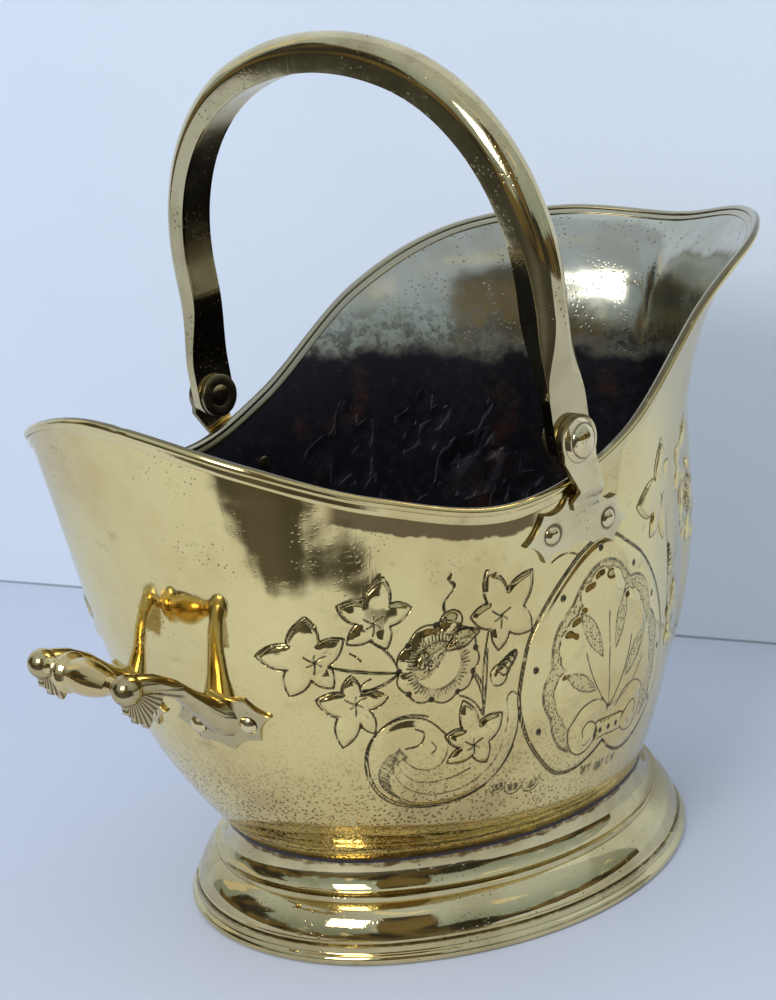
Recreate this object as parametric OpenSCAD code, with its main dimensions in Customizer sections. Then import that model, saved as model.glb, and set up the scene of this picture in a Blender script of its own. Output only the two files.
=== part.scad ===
// Helmet coal scuttle in sheet brass: an oval moulded foot, a raised body with a
// high pouring lip, a swinging bail on two riveted brackets and a fixed grip behind.
// +X points to the lip, +Z up, the origin lies on the ground under the foot's centre.
// "Left" is the +Y side and "right" the -Y side. All lengths are in millimetres.

/* [Body] */
// Reach of the rear edge behind the foot's centre
rear_reach = 205; // [198:1:212]
// Reach of the pouring lip in front of the foot's centre
lip_reach = 237.5; // [230:0.5:248]
// Width of the mouth where it is widest
mouth_w = 267; // [260:1:276]
// Height of the rear edge
rear_h = 281; // [274:1:290]
// Height of the edge where it dips between rear and lip
dip_h = 225; // [220:1:231]
// Height of the cheeks beside the lip
cheek_h = 328; // [320:1:336]
// Height of the pouring lip
lip_h = 321; // [314:1:328]
// Thickness of the body sheet
sheet_t = 1.2; // [1:0.1:1.6]

/* [Edging] */
// Radius of the bead along the edge
bead_r = 2.4; // [2:0.1:2.8]
// Depth of the edging's flanges below the bead's centre
flange_d = 6; // [4.5:0.5:7]
// Thickness of the edging's flanges
flange_t = 0.8; // [0.6:0.1:1.2]

/* [Foot] */
// Length of the oval neck between foot and body
neck_l = 252; // [244:1:260]
// Width of the oval neck
neck_w = 201; // [194:1:208]
// Height of the neck above the ground
neck_h = 45.5; // [42:0.5:50]
// How far the base stands out beyond the neck
foot_spread = 23; // [21:0.5:26]
// Height of the step below the cove
step_h = 29.5; // [28:0.5:31]
// Wall thickness of the foot
foot_t = 1.8; // [1.4:0.1:2.4]
// Thickness of the bottom plate
bottom_t = 1.4; // [1:0.1:2]

/* [Bail] */
// Height of the bail's centre line above its pivots
bail_h = 184.5; // [176:0.5:194]
// Radius of the bail's crown
crown_r = 170.5; // [160:0.5:180]
// Half angle of the crown arc
crown_angle = 19.5; // [17:0.5:22]
// Inward lean of the bail's legs
leg_lean = 1; // [0.5:0.1:1.5]
// Backward tilt of the bail at rest
rest_tilt = 6.6; // [4:0.2:9]
// Width of the bail's half-round section
bail_w = 19.5; // [18:0.5:21]
// Depth of the section's straight sides
bail_side = 8.5; // [7:0.5:10]
// Sheet thickness of the bail
bail_t = 1.7; // [1.4:0.1:2]
// Thickness of the strip that closes the bail's inner face
strip_t = 1.5; // [1.2:0.1:2]
// How far the strip lies below the bail's inner edges
strip_sink = 0.5; // [0.3:0.1:0.8]
// Width of the flat end around the pivot
paddle_w = 25; // [24:0.5:26]
// Thickness of the flat end
paddle_t = 5.8; // [5:0.2:6.6]
// Height above the pivot at which the end is flat
paddle_rise = 16; // [14:1:20]
// Length over which the half-round section flattens
taper_l = 44; // [36:1:52]

/* [Pivots] */
// Distance of the pivots behind the foot's centre
pivot_back = 28; // [24:1:32]
// Height of the pivots above the edge beneath them
pivot_rise = 19; // [18:0.5:22]
// Diameter of the pivot rivet's shank
pin_d = 9; // [8:0.5:10]
// Radial clearance of the shank in the bail
pin_clearance = 0.06; // [0.04:0.01:0.1]
// Diameter of the rivet's domed head
dome_d = 21.5; // [20:0.5:23]
// Height of the domed head
dome_h = 5; // [4:0.5:6]
// Diameter of the bracket's eye
eye_d = 24.5; // [24:0.5:26]
// Thickness of the bracket's eye
eye_t = 3.5; // [3:0.1:4]
// Diameter of the washer inside the bail's end
washer_d = 24; // [22:0.5:25]
// Thickness of the washer
washer_t = 3; // [2.4:0.1:3.6]
// Gap on both sides of the bail's end
side_gap = 0.3; // [0.3:0.05:0.5]

/* [Brackets] */
// How far the bracket's plate stands ahead of the pivot
plate_ahead = 9; // [6:0.5:11]
// Height of the plate's rivets below the pivot
plate_drop = 44.5; // [43:0.5:47]
// Spacing of the plate's two rivets
plate_pitch = 37; // [34:0.5:40]
// Length of the plate from tip to tip
plate_l = 69; // [65:0.5:73]
// Thickness of the plate
plate_t = 2.2; // [1.8:0.1:2.6]
// Width of the bracket's neck
neck_strap_w = 18.5; // [17:0.5:20]
// Thickness of the bracket's neck
neck_strap_t = 2.6; // [2.4:0.1:3]

/* [Rear handle] */
// Distance of the grip's axis behind the foot's centre
grip_back = 221; // [217:0.5:225]
// Height of the grip's axis
grip_z = 165; // [162:0.5:168]
// Distance between the middles of the two arms
arm_pitch = 66; // [62:0.5:70]
// Greatest diameter of the grip
grip_d = 19.5; // [17:0.5:21]
// Diameter of the grip where it meets the arms
grip_end_d = 9; // [8:0.5:10]
// Diameter of the elbow at the end of each arm
elbow_d = 14.5; // [13.5:0.5:16]
// Diameter of the rod inside the grip
rod_d = 5; // [4:0.5:6]
// Depth of the rod's socket past the elbow's middle
rod_socket = 2; // [1:0.5:3]
// Height of the middle of the arms' plates
arm_plate_z = 133; // [130:0.5:136]
// Length of an arm's plate from tip to tip
arm_plate_l = 57; // [53:0.5:60]
// Thickness of an arm's plate
arm_plate_t = 1.8; // [1.5:0.1:2.2]
// Spacing of the rivets in an arm's plate
arm_rivet_pitch = 30; // [28:0.5:32]
// Upward slant of an arm's plate away from the middle
arm_plate_slant = 8; // [4:1:12]
// Thickness of the shell under the elbow
shell_t = 4.5; // [3.5:0.5:6]
// Height of the shell under the elbow
shell_h = 20; // [17:0.5:22]

/* [Rivets] */
// Diameter of the small rivets' shanks
rivet_d = 4.4; // [4:0.2:5]
// Diameter of the small rivets' heads
rivet_head_d = 9; // [8:0.5:10]
// Height of the small rivets' heads
rivet_head_h = 2.2; // [1.6:0.2:2.8]
// Height of the closed ends inside the body
rivet_tail_h = 1; // [0.8:0.1:1.4]
// Radial clearance of the small rivets in their holes
rivet_clearance = 0.05; // [0.03:0.01:0.1]

/* [Hidden] */

BRASS = "#cdb76a";
FOOT_BRASS = "#c9a24a";
DARK_BRASS = "#7d6a3c";
BRIGHT_BRASS = "#dccb86";

// Fineness of the body's sheet: stations round the mouth and rows up the wall
stations = 72;
rows = 18;
// Fineness of round pieces, and a length that reaches past any piece it cuts
fine = 96;
past = 60;
eps = 0.01;

// ---- vectors ----
function unit(v) = v / norm(v);
function mix(a, b, u) = a + (b - a) * u;
function ease(u) = u * u * (3 - 2 * u);
function rev(v) = [for (i = [len(v) - 1:-1:0]) v[i]];

// Points from p towards q on a shallow curve that bows to the right by sag; q is left out
function bow(p, q, sag, n = 6) =
    let (d = q - p, side = unit([d.y, -d.x]))
    [for (i = [0:n - 1]) let (u = i / n) p + d * u + side * sag * 4 * u * (1 - u)];

// ---- the foot's oval: four tangent arcs, so that every moulding runs parallel to it ----
neck_a = neck_l / 2;
neck_b = neck_w / 2;
end_r = 0.835 * neck_b;
side_r = (neck_a * neck_a + neck_b * neck_b - 2 * neck_a * end_r) / (2 * (neck_b - end_r));
end_c = neck_a - end_r;
side_c = side_r - neck_b;
join_angle = atan2(side_c, end_c);

// Point of the oval, grown outwards by g, whose outward normal points along angle f
function oval(f, g = 0) =
    abs(sin(f)) * cos(join_angle) <= abs(cos(f)) * sin(join_angle)
        ? [sign(cos(f)) * end_c + (end_r + g) * cos(f), (end_r + g) * sin(f)]
        : [(side_r + g) * cos(f), (side_r + g) * sin(f) - sign(sin(f)) * side_c];

// ---- the mouth: a smooth closed curve through stations from rear (s = 0) to lip (s = 1) ----
half_w = mouth_w / 2;
edge_x = [
    -rear_reach, -0.898 * rear_reach, -0.649 * rear_reach, -0.293 * rear_reach,
    0.038 * lip_reach, 0.345 * lip_reach, 0.639 * lip_reach, 0.882 * lip_reach, lip_reach,
];
edge_y = half_w * [0, 0.607, 0.831, 0.929, 1, 0.963, 0.846, 0.502, 0];
edge_z = [
    rear_h, mix(dip_h, rear_h, 0.70), mix(dip_h, rear_h, 0.30), dip_h,
    mix(dip_h, cheek_h, 0.194), mix(dip_h, cheek_h, 0.684), mix(dip_h, cheek_h, 0.942), cheek_h, lip_h,
];
function loop_even(v) = concat(v, rev([for (i = [1:len(v) - 2]) v[i]]));
function loop_odd(v) = concat(v, -rev([for (i = [1:len(v) - 2]) v[i]]));
loop_x = loop_even(edge_x);
loop_y = -loop_odd(edge_y);
loop_z = loop_even(edge_z);

// Smooth closed curve through the values v, read at s from 0 to 2
function curve(v, s) =
    let (n = len(v), q = (s + 4) / 2 * n, i = floor(q), u = q - i)
    let (a = v[(i + n - 1) % n], b = v[i % n], c = v[(i + 1) % n], d = v[(i + 2) % n])
    (2 * b + (c - a) * u + (2 * a - 5 * b + 4 * c - d) * u * u + (3 * b - a - 3 * c + d) * u * u * u) / 2;
function edge(s) = [curve(loop_x, s), curve(loop_y, s), curve(loop_z, s)];

// ---- the wall: at each station a curve that leaves the neck and arrives at the edge ----
// Its two handles at rear, rear quarter, side, front quarter and lip:
// their lengths as shares of the straight distance, and their steepness in degrees
foot_pull = loop_even([0.39, 0.38, 0.35, 0.39, 0.505]);
foot_steep = loop_even([50, 50, 58, 64, 29]);
edge_pull = loop_even([0.38, 0.35, 0.30, 0.33, 0.34]);
edge_steep = loop_even([76, 75, 72, 43, 27]);
step_s = 0.001;

function foot_normal(s) = let (a = 180 * (1 - s)) atan2(-neck_a * sin(a), neck_b * cos(a));
function wall_ends(s) = let (f = foot_normal(s), o = oval(f)) [[o.x, o.y, neck_h], edge(s)];
function edge_out(s) =
    let (d = edge(s + step_s) - edge(s - step_s))
    unit([d.y, -d.x, 0]);
function heading(flat, steep) = [flat.x * cos(steep), flat.y * cos(steep), sin(steep)];
function wall(s, t) =
    let (e = wall_ends(s), f = foot_normal(s), reach = norm(e[1] - e[0]))
    let (h1 = e[0] + heading([cos(f), sin(f)], curve(foot_steep, s)) * curve(foot_pull, s) * reach)
    let (h2 = e[1] - heading(edge_out(s), curve(edge_steep, s)) * curve(edge_pull, s) * reach)
    let (w = 1 - t)
    e[0] * w * w * w + h1 * 3 * w * w * t + h2 * 3 * w * t * t + e[1] * t * t * t;
function wall_normal(s, t) =
    let (p = wall(s, t), du = wall(s + step_s, t) - p, dv = wall(s, t + step_s) - p)
    unit(cross(du, dv));

// Share of the wall's curve at a depth d below the bead's top
function share_below(s, d) =
    let (e = wall_ends(s))
    1 - d / (3 * curve(edge_pull, s) * norm(e[1] - e[0]));
function row_share(s, k) =
    k == rows ? share_below(s, bead_r)
              : share_below(s, bead_r + flange_d) * k / (rows - 1);

// Outer point of the sheet at station j and row k, moved outwards by g
function sheet(j, k, g = 0) =
    let (s = 2 * j / stations, t = row_share(s, k), p = wall(s, t))
    g == 0 ? p
           : k == 0 ? p + g / sin(curve(foot_steep, s)) * [cos(foot_normal(s)), sin(foot_normal(s)), 0]
                    : p + g * wall_normal(s, t);

// Station and share [s, t] where the wall passes a place given by one ground
// coordinate (axis 0 is x, 1 is y) and a height
function find_wall(place, axis, at, n = 7) =
    n == 0 ? at
           : let (p = wall(at[0], at[1]))
             let (ps = (wall(at[0] + step_s, at[1]) - p) / step_s)
             let (pt = (wall(at[0], at[1] + step_s) - p) / step_s)
             let (miss = [place[0] - p[axis], place[1] - p.z])
             let (det = ps[axis] * pt.z - pt[axis] * ps.z)
             let (ds = (miss[0] * pt.z - miss[1] * pt[axis]) / det)
             let (dt = (miss[1] * ps[axis] - miss[0] * ps.z) / det)
             find_wall(place, axis, [at[0] + ds, at[1] + dt], n - 1);

// Station on the right side where the edge passes x, between lo and hi
function edge_at(x, lo = 0, hi = 1, n = 24) =
    let (m = (lo + hi) / 2)
    n == 0 ? m : curve(loop_x, m) < x ? edge_at(x, m, hi, n - 1) : edge_at(x, lo, m, n - 1);

// ---- meshes swept through rings of equal length ----
function flat(v) = [for (r = v) each r];
// Faces between closed rings; "closed" joins the last ring to the first
function ring_faces(count, n, closed, cross_down) = [
    for (k = [0:count - (closed ? 1 : 2)], j = [0:n - 1])
        let (k2 = (k + 1) % count, j2 = (j + 1) % n)
        let (a = k * n + j, b = k * n + j2, c = k2 * n + j2, d = k2 * n + j)
        each cross_down ? [[a, d, b], [b, d, c]] : [[a, c, b], [a, d, c]],
];

// Skin of even thickness g lying on the sheet between stations ja..jb and rows ka..kb
module skin(ja, jb, ka, kb, g) {
    n = jb - ja + 1;
    m = kb - ka + 1;
    points = concat(
        [for (k = [ka:kb], j = [ja:jb]) sheet(j, k)],
        [for (k = [ka:kb], j = [ja:jb]) sheet(j, k, g)]);
    top = n * m;
    under = [for (k = [0:m - 2], j = [0:n - 2])
        let (a = k * n + j, b = a + 1, c = a + n + 1, d = a + n)
        each [[a, b, c], [a, c, d]]];
    over = [for (f = under) [f[0] + top, f[2] + top, f[1] + top]];
    rim = concat(
        [for (j = [0:n - 1]) j],
        [for (k = [1:m - 1]) k * n + n - 1],
        [for (j = [n - 2:-1:0]) (m - 1) * n + j],
        [for (k = [m - 2:-1:1]) k * n]);
    sides = [for (i = [0:len(rim) - 1])
        let (a = rim[i], b = rim[(i + 1) % len(rim)])
        each [[a, b + top, b], [a, a + top, b + top]]];
    polyhedron(points, concat(under, over, sides));
}

// Turns a drawing of (forward, up) so that it stands in a plane across the width
module across(y0, y1) {
    translate([0, y1, 0]) rotate([90, 0, 0]) linear_extrude(y1 - y0) children();
}
// Turns a drawing of (sideways, up) so that it stands in a plane along the length
module along(x0, x1) {
    translate([x0, 0, 0]) rotate([90, 0, 90]) linear_extrude(x1 - x0) children();
}
// Round bar from p towards direction v, over lengths a..b
module bar(p, v, a, b, r) {
    translate(p)
        rotate([0, acos(v.z / norm(v)), atan2(v.y, v.x)])
            translate([0, 0, a]) cylinder(h = b - a, r = r, $fn = fine);
}
module left() { mirror([0, 1, 0]) children(); }

// ---- body ----
module body_shell() {
    outer = [for (k = [0:rows]) [for (j = [0:stations - 1]) sheet(j, k)]];
    inner = [for (k = [rows:-1:0]) [for (j = [0:stations - 1]) sheet(j, k, -sheet_t)]];
    color(BRASS) difference() {
        polyhedron(flat(concat(outer, inner)), ring_faces(2 * (rows + 1), stations, true, false));
        both_sides() rivet_holes(bracket_seats);
        both_sides() rivet_holes(arm_seats);
    }
}
module both_sides() {
    children();
    left() children();
}

// Channel that grips the sheet: a bead on top, a flange outside and one inside
bead_steps = 8;
bead_from = -20;
bead_to = 200;
function edging_ring(j) =
    let (s = 2 * j / stations)
    let (top_out = sheet(j, rows), top_in = sheet(j, rows, -sheet_t))
    let (low_out = sheet(j, rows - 1), low_in = sheet(j, rows - 1, -sheet_t))
    let (out = wall_normal(s, row_share(s, rows)), up = unit(edge(s) - top_out))
    let (c = (top_out + top_in) / 2, low = wall_normal(s, row_share(s, rows - 1)))
    concat(
        [for (i = [0:bead_steps]) let (a = mix(bead_from, bead_to, i / bead_steps))
            c + bead_r * (out * cos(a) + up * sin(a))],
        [low_in - low * flange_t, low_in, top_in, top_out, low_out, low_out + low * flange_t]);
module rim_edging() {
    slices = [for (j = [0:stations - 1]) edging_ring(j)];
    n = len(slices[0]);
    lanes = [for (k = [0:n - 1]) [for (j = [0:stations - 1]) slices[j][k]]];
    color(BRIGHT_BRASS) polyhedron(flat(lanes), ring_faces(n, stations, true, true));
}

// Slab of the neck's oval between heights z0 and z1
module oval_slab(z0, z1) {
    translate([0, 0, z0]) linear_extrude(z1 - z0)
        polygon([for (f = [0:3:357]) oval(f)]);
}
module bottom_plate() {
    color(DARK_BRASS) oval_slab(neck_h - bottom_t, neck_h);
}

// ---- foot ----
// Half section of the foot, x outwards from the neck's oval, y up: from the neck a cove
// runs down to a step, below it a convex band, a small ridge, a narrow band and a base roll
roll_r = 2.8;
ledge_w = 9;
cove_w = 0.30 * foot_spread;
step_w = 1.4;
step_t = 2.6;
band_w = 0.80 * foot_spread;
band_h = 9.5;
ridge_w = 0.6;
ridge_h = 2.2;
module foot_section() {
    top = neck_h - bottom_t;
    band_top = step_h - step_t + eps;
    band_low = [band_w, band_h + ridge_h];
    difference() {
        union() {
            difference() {
                translate([-ledge_w, step_h]) square([ledge_w + cove_w, top - step_h]);
                translate([cove_w, top]) scale([cove_w, top - step_h]) circle(r = 1, $fn = fine);
            }
            translate([-ledge_w, step_h - step_t]) square([ledge_w + cove_w + step_w, step_t + eps]);
            polygon(concat(
                [[-ledge_w, band_top]],
                bow([cove_w + 0.4, band_top], band_low, -2.2, 10),
                [band_low, [-ledge_w, band_low.y]]));
            translate([-ledge_w, band_h]) square([ledge_w + band_w + ridge_w, ridge_h + eps]);
            translate([-ledge_w, roll_r]) square([ledge_w + foot_spread - roll_r, band_h - roll_r + eps]);
            translate([-ledge_w, 0]) square([ledge_w + foot_spread - roll_r, roll_r * 2]);
            translate([foot_spread - roll_r, roll_r]) circle(r = roll_r, $fn = fine);
        }
        // hollow underside
        polygon([
            [-ledge_w - eps, -eps],
            [foot_spread - 2 * roll_r, -eps],
            [foot_spread - 2 * roll_r, band_h - foot_t],
            [band_w - foot_t, band_h],
            [cove_w - foot_t + ridge_w, step_h - foot_t - 1],
            [-foot_t, step_h + 1],
            [-foot_t, top - foot_t],
            [-ledge_w - eps, top - foot_t],
        ]);
    }
}
module foot_arc(centre, r, from, sweep) {
    translate([centre.x, centre.y, 0]) rotate([0, 0, from])
        rotate_extrude(angle = sweep, $fn = fine) translate([r, 0]) foot_section();
}
module foot_ring() {
    color(FOOT_BRASS) union() {
        foot_arc([end_c, 0], end_r, -join_angle, 2 * join_angle);
        foot_arc([-end_c, 0], end_r, 180 - join_angle, 2 * join_angle);
        foot_arc([0, -side_c], side_r, join_angle, 180 - 2 * join_angle);
        foot_arc([0, side_c], side_r, 180 + join_angle, 180 - 2 * join_angle);
    }
}

// ---- pivots ----
pivot_x = -pivot_back;
pivot_z = edge(edge_at(pivot_x)).z + pivot_rise;
// The bracket's eye clears the bead beneath its forward edge
bead_out = bead_r - sheet_t / 2;
eye_in = -edge(edge_at(pivot_x + eye_d / 2)).y + bead_out + side_gap;
eye_out = eye_in + eye_t;
paddle_out = eye_in - side_gap;
paddle_in = paddle_out - paddle_t;
washer_out = paddle_in - side_gap;
washer_in = washer_out - washer_t;
tail_h = 1.6;
tail_r = pin_d / 2 + tail_h;

// Places children on the right pivot, with z pointing outwards from the scuttle's middle
module at_pivot(out) {
    translate([pivot_x, -out, pivot_z]) rotate([90, 0, 0]) children();
}
module pivot_rivet() {
    dome_r = (dome_d * dome_d / 4 + dome_h * dome_h) / (2 * dome_h);
    intersection() {
        at_pivot(eye_out + dome_h - dome_r) sphere(r = dome_r, $fn = fine);
        at_pivot(eye_out) cylinder(h = dome_h + 1, d = dome_d, $fn = fine);
    }
    at_pivot(washer_in) cylinder(h = eye_out - washer_in + eps, d = pin_d, $fn = fine);
    at_pivot(washer_in) cylinder(h = tail_h, r1 = tail_r, r2 = pin_d / 2, $fn = fine);
}
module pivot_washer() {
    difference() {
        at_pivot(washer_in) cylinder(h = washer_t, d = washer_d, $fn = fine);
        at_pivot(washer_in - eps) cylinder(h = washer_t + 2 * eps, d = pin_d, $fn = fine);
        at_pivot(washer_in) cylinder(h = tail_h, r1 = tail_r, r2 = pin_d / 2, $fn = fine);
    }
}
module pivot_rivet_left() { color(BRIGHT_BRASS) left() pivot_rivet(); }
module pivot_rivet_right() { color(BRIGHT_BRASS) pivot_rivet(); }
module pivot_washer_left() { color(DARK_BRASS) left() pivot_washer(); }
module pivot_washer_right() { color(DARK_BRASS) pivot_washer(); }

// ---- small rivets, each set square on the wall ----
// A seat is [point on the sheet, outward normal, thickness of the plate]
function seat(place, axis, guess, plate) =
    let (st = find_wall(place, axis, guess))
    [wall(st[0], st[1]), wall_normal(st[0], st[1]), plate];

plate_x = pivot_x + plate_ahead;
plate_z = pivot_z - plate_drop;
side_guess = [0.47, 0.8];
bracket_seats = [
    for (i = [-1, 1]) seat([plate_x + i * plate_pitch / 2, plate_z], 0, side_guess, plate_t),
];
arm_y = arm_pitch / 2;
rear_guess = [0.07, 0.42];
function slanted(u, v) = [
    -(arm_y + u * cos(arm_plate_slant) - v * sin(arm_plate_slant)),
    arm_plate_z + u * sin(arm_plate_slant) + v * cos(arm_plate_slant),
];
arm_seats = [
    for (i = [-1, 1]) seat(slanted(i * arm_rivet_pitch / 2, 0), 1, rear_guess, arm_plate_t),
];

// Flat faces of head and tail stand this far off the curved plate and sheet
rivet_head_gap = 0.15;
rivet_tail_gap = 0.3;
module rivet_holes(seats) {
    for (s = seats) bar(s[0], s[1], -past / 6, past / 6, rivet_d / 2 + rivet_clearance);
}
module rivets(seats) {
    head_r = (rivet_head_d * rivet_head_d / 4 + rivet_head_h * rivet_head_h) / (2 * rivet_head_h);
    for (s = seats) {
        head = s[2] + rivet_head_gap;
        tail = -sheet_t - rivet_tail_gap;
        bar(s[0], s[1], tail - rivet_tail_h, head + eps, rivet_d / 2);
        bar(s[0], s[1], tail - rivet_tail_h, tail, rivet_head_d / 2 - 1);
        intersection() {
            translate(s[0] + s[1] * (head + rivet_head_h - head_r)) sphere(r = head_r, $fn = fine);
            bar(s[0], s[1], head, head + past, rivet_head_d / 2);
        }
    }
}
module bracket_rivets_left() { color(BRIGHT_BRASS) left() rivets(bracket_seats); }
module bracket_rivets_right() { color(BRIGHT_BRASS) rivets(bracket_seats); }
module handle_rivets_left() { color(BRIGHT_BRASS) left() rivets(arm_seats); }
module handle_rivets_right() { color(BRIGHT_BRASS) rivets(arm_seats); }

// ---- bail brackets ----
tip_x = plate_l / 2;
// Outline of the plate about its middle: scalloped wings with a hollow lower edge
shoulder = [neck_strap_w / 2 + 0.5, 19];
horn = [0.72 * tip_x, 10.5];
tip = [tip_x, -3];
heel = [0.66 * tip_x, -13];
toe = [0.25 * tip_x, -10];
function flip(p) = [-p.x, p.y];
plate_outline = concat(
    bow(shoulder, horn, 4.5),
    bow(horn, tip, 1.6),
    bow(tip, heel, 2.4),
    bow(heel, toe, 2.2),
    bow(toe, flip(toe), 2.6),
    bow(flip(toe), flip(heel), 2.2),
    bow(flip(heel), flip(tip), 2.4),
    bow(flip(tip), flip(horn), 1.6),
    bow(flip(horn), flip(shoulder), 4.5),
    [flip(shoulder)]);

// How far the sheet stands out beside a place on the side wall
function side_out(x, z) = let (st = find_wall([x, z], 0, side_guess)) -wall(st[0], st[1]).y;
// The neck leaves the plate at joggle_z, a little clear of the sheet
flange_z = edge(edge_at(pivot_x)).z - bead_r - flange_d;
joggle_z = plate_z + 14.5;
joggle_gap = 0.9;
joggle_y = side_out(plate_x, joggle_z) + joggle_gap;
plate_station = find_wall([plate_x, plate_z], 0, side_guess)[0] / 2 * stations;
// Stations of the sheet on either side that the plate can reach
plate_span = ceil(stations * (tip_x + 12) / (2 * (rear_reach + lip_reach)));

module bail_bracket() {
    mid = round(plate_station);
    difference() {
        union() {
            // plate that lies on the wall
            intersection() {
                skin(mid - plate_span, mid + plate_span, floor(rows / 2), rows - 1, plate_t);
                translate([plate_x, 0, plate_z]) across(-half_w - past, -half_w / 2) polygon(plate_outline);
            }
            // neck that steps out past the edging
            intersection() {
                translate([pivot_x, 0, pivot_z]) across(-half_w - past, -half_w / 2) polygon([
                    [-eye_d / 2 + 1.4, 0],
                    [-eye_d / 2 + 1, -eye_d / 2 + 3],
                    [plate_ahead - neck_strap_w / 2, flange_z - pivot_z + 3],
                    [plate_ahead - neck_strap_w / 2 - 0.5, 15 - plate_drop],
                    [plate_ahead - neck_strap_w / 2 + 0.5, 10 - plate_drop],
                    [plate_ahead + neck_strap_w / 2 - 0.5, 10 - plate_drop],
                    [plate_ahead + neck_strap_w / 2 + 0.5, 15 - plate_drop],
                    [plate_ahead + neck_strap_w / 2 - 1, flange_z - pivot_z + 3],
                    [eye_d / 2 - 1, -eye_d / 2 + 3],
                    [eye_d / 2 - 1.4, 0],
                ]);
                along(pivot_x - past, pivot_x + past) polygon([
                    [-eye_in, pivot_z],
                    [-eye_in, flange_z],
                    [-joggle_y, joggle_z - 2],
                    [-joggle_y, plate_z],
                    [-joggle_y - neck_strap_t, plate_z],
                    [-joggle_y - neck_strap_t, joggle_z - 1],
                    [-eye_in - neck_strap_t, flange_z + 2],
                    [-eye_out, pivot_z - eye_d / 2 + 1],
                    [-eye_out, pivot_z],
                ]);
            }
            at_pivot(eye_in) cylinder(h = eye_t, d = eye_d, $fn = fine);
        }
        at_pivot(eye_in - eps) cylinder(h = eye_t + 2 * eps, d = pin_d, $fn = fine);
        rivet_holes(bracket_seats);
    }
}
module bail_bracket_left() { color(BRASS) left() bail_bracket(); }
module bail_bracket_right() { color(BRASS) bail_bracket(); }

// ---- bail ----
// The bail is drawn upright in a plane across the scuttle: p sideways, h above the pivots
section_t = bail_side + bail_w / 2;
leg_inset = 3.2;
leg_y = (paddle_in + paddle_out) / 2 - leg_inset;
crown_c = bail_h - crown_r;
shoulder_r = (leg_y - crown_r * sin(crown_angle) + tan(leg_lean) * (crown_c + crown_r * cos(crown_angle)))
    / (cos(leg_lean) - sin(crown_angle) + tan(leg_lean) * (cos(crown_angle) + sin(leg_lean)));
shoulder_c = [0, crown_c] + (crown_r - shoulder_r) * [sin(crown_angle), cos(crown_angle)];
leg_top = shoulder_c + shoulder_r * [cos(leg_lean), -sin(leg_lean)];
leg_dir = [-sin(leg_lean), -cos(leg_lean)];
leg_out = [cos(leg_lean), -sin(leg_lean)];
taper_top = paddle_rise + taper_l;
leg_l = (leg_top.y - taper_top) / cos(leg_lean);
taper_at = leg_top + leg_dir * leg_l;

// Stations along half of the bail's centre line, from its top down to the end of its leg:
// [place sideways, height, lean of the outward direction from upright]
crown_steps = 7;
shoulder_steps = 20;
half_path = concat(
    [for (i = [0:crown_steps - 1]) let (a = crown_angle * i / crown_steps)
        [crown_r * sin(a), crown_c + crown_r * cos(a), a]],
    [for (i = [0:shoulder_steps]) let (a = mix(crown_angle, 90 + leg_lean, i / shoulder_steps))
        [shoulder_c.x + shoulder_r * sin(a), shoulder_c.y + shoulder_r * cos(a), a]],
    [[taper_at.x, taper_at.y, 90 + leg_lean]]);

// Section of the bail: x outwards across its depth, y along its width. A half round back
// of half width r on straight sides
round_steps = 12;
function half_round(r) = concat(
    [for (i = [0:round_steps]) let (f = -90 + 180 * i / round_steps) [bail_side + r * cos(f), r * sin(f)]],
    [[0, r], [0, -r]]);
function across_path(station, outline) =
    let (out = [sin(station[2]), cos(station[2])])
    [for (q = outline)
        [station.x + out.x * (q.x - section_t / 2), station.y + out.y * (q.x - section_t / 2), q.y]];
// Rings of a half, from the top down, carried over to the other side as well
function both_legs(rings) = concat(
    [for (k = [len(rings) - 1:-1:1]) [for (q = rings[k]) [-q.x, q.y, q.z]]],
    rings);
// Flattening stretch of a leg: half-round section above, flat end below
taper_rings = 9;
function taper_ring(q) =
    let (u = ease(q), cap = mix(bail_w / 2, 0, u), body = mix(bail_side, paddle_t, u))
    let (w = mix(bail_w, paddle_w, u) / 2)
    let (a = taper_at - leg_out * section_t / 2, foot = [paddle_in, paddle_rise])
    let (base = [mix(a.x, foot.x, u), mix(a.y, foot.y, q)], out = unit(mix(leg_out, [1, 0], u)))
    concat(
        [for (i = [0:round_steps]) let (f = -90 + 180 * i / round_steps)
            [base.x + out.x * (body + cap * cos(f)), base.y + out.y * (body + cap * cos(f)), w * sin(f)]],
        [[base.x, base.y, w], [base.x, base.y, -w]]);
// The flat end runs a little way down into the paddle
paddle_lap = 2;
paddle_root = [for (q = taper_ring(1)) [q.x, q.y - paddle_lap, q.z]];
// Solid through a row of rings, closed at both ends
module swept(rings) {
    n = len(rings[0]);
    last = (len(rings) - 1) * n;
    polyhedron(flat(rings), concat(
        ring_faces(len(rings), n, false, false),
        [for (j = [0:n - 3]) [n - 1, j, j + 1]],
        [for (j = [0:n - 3]) [last + n - 1, last + j + 1, last + j]]));
}
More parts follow.
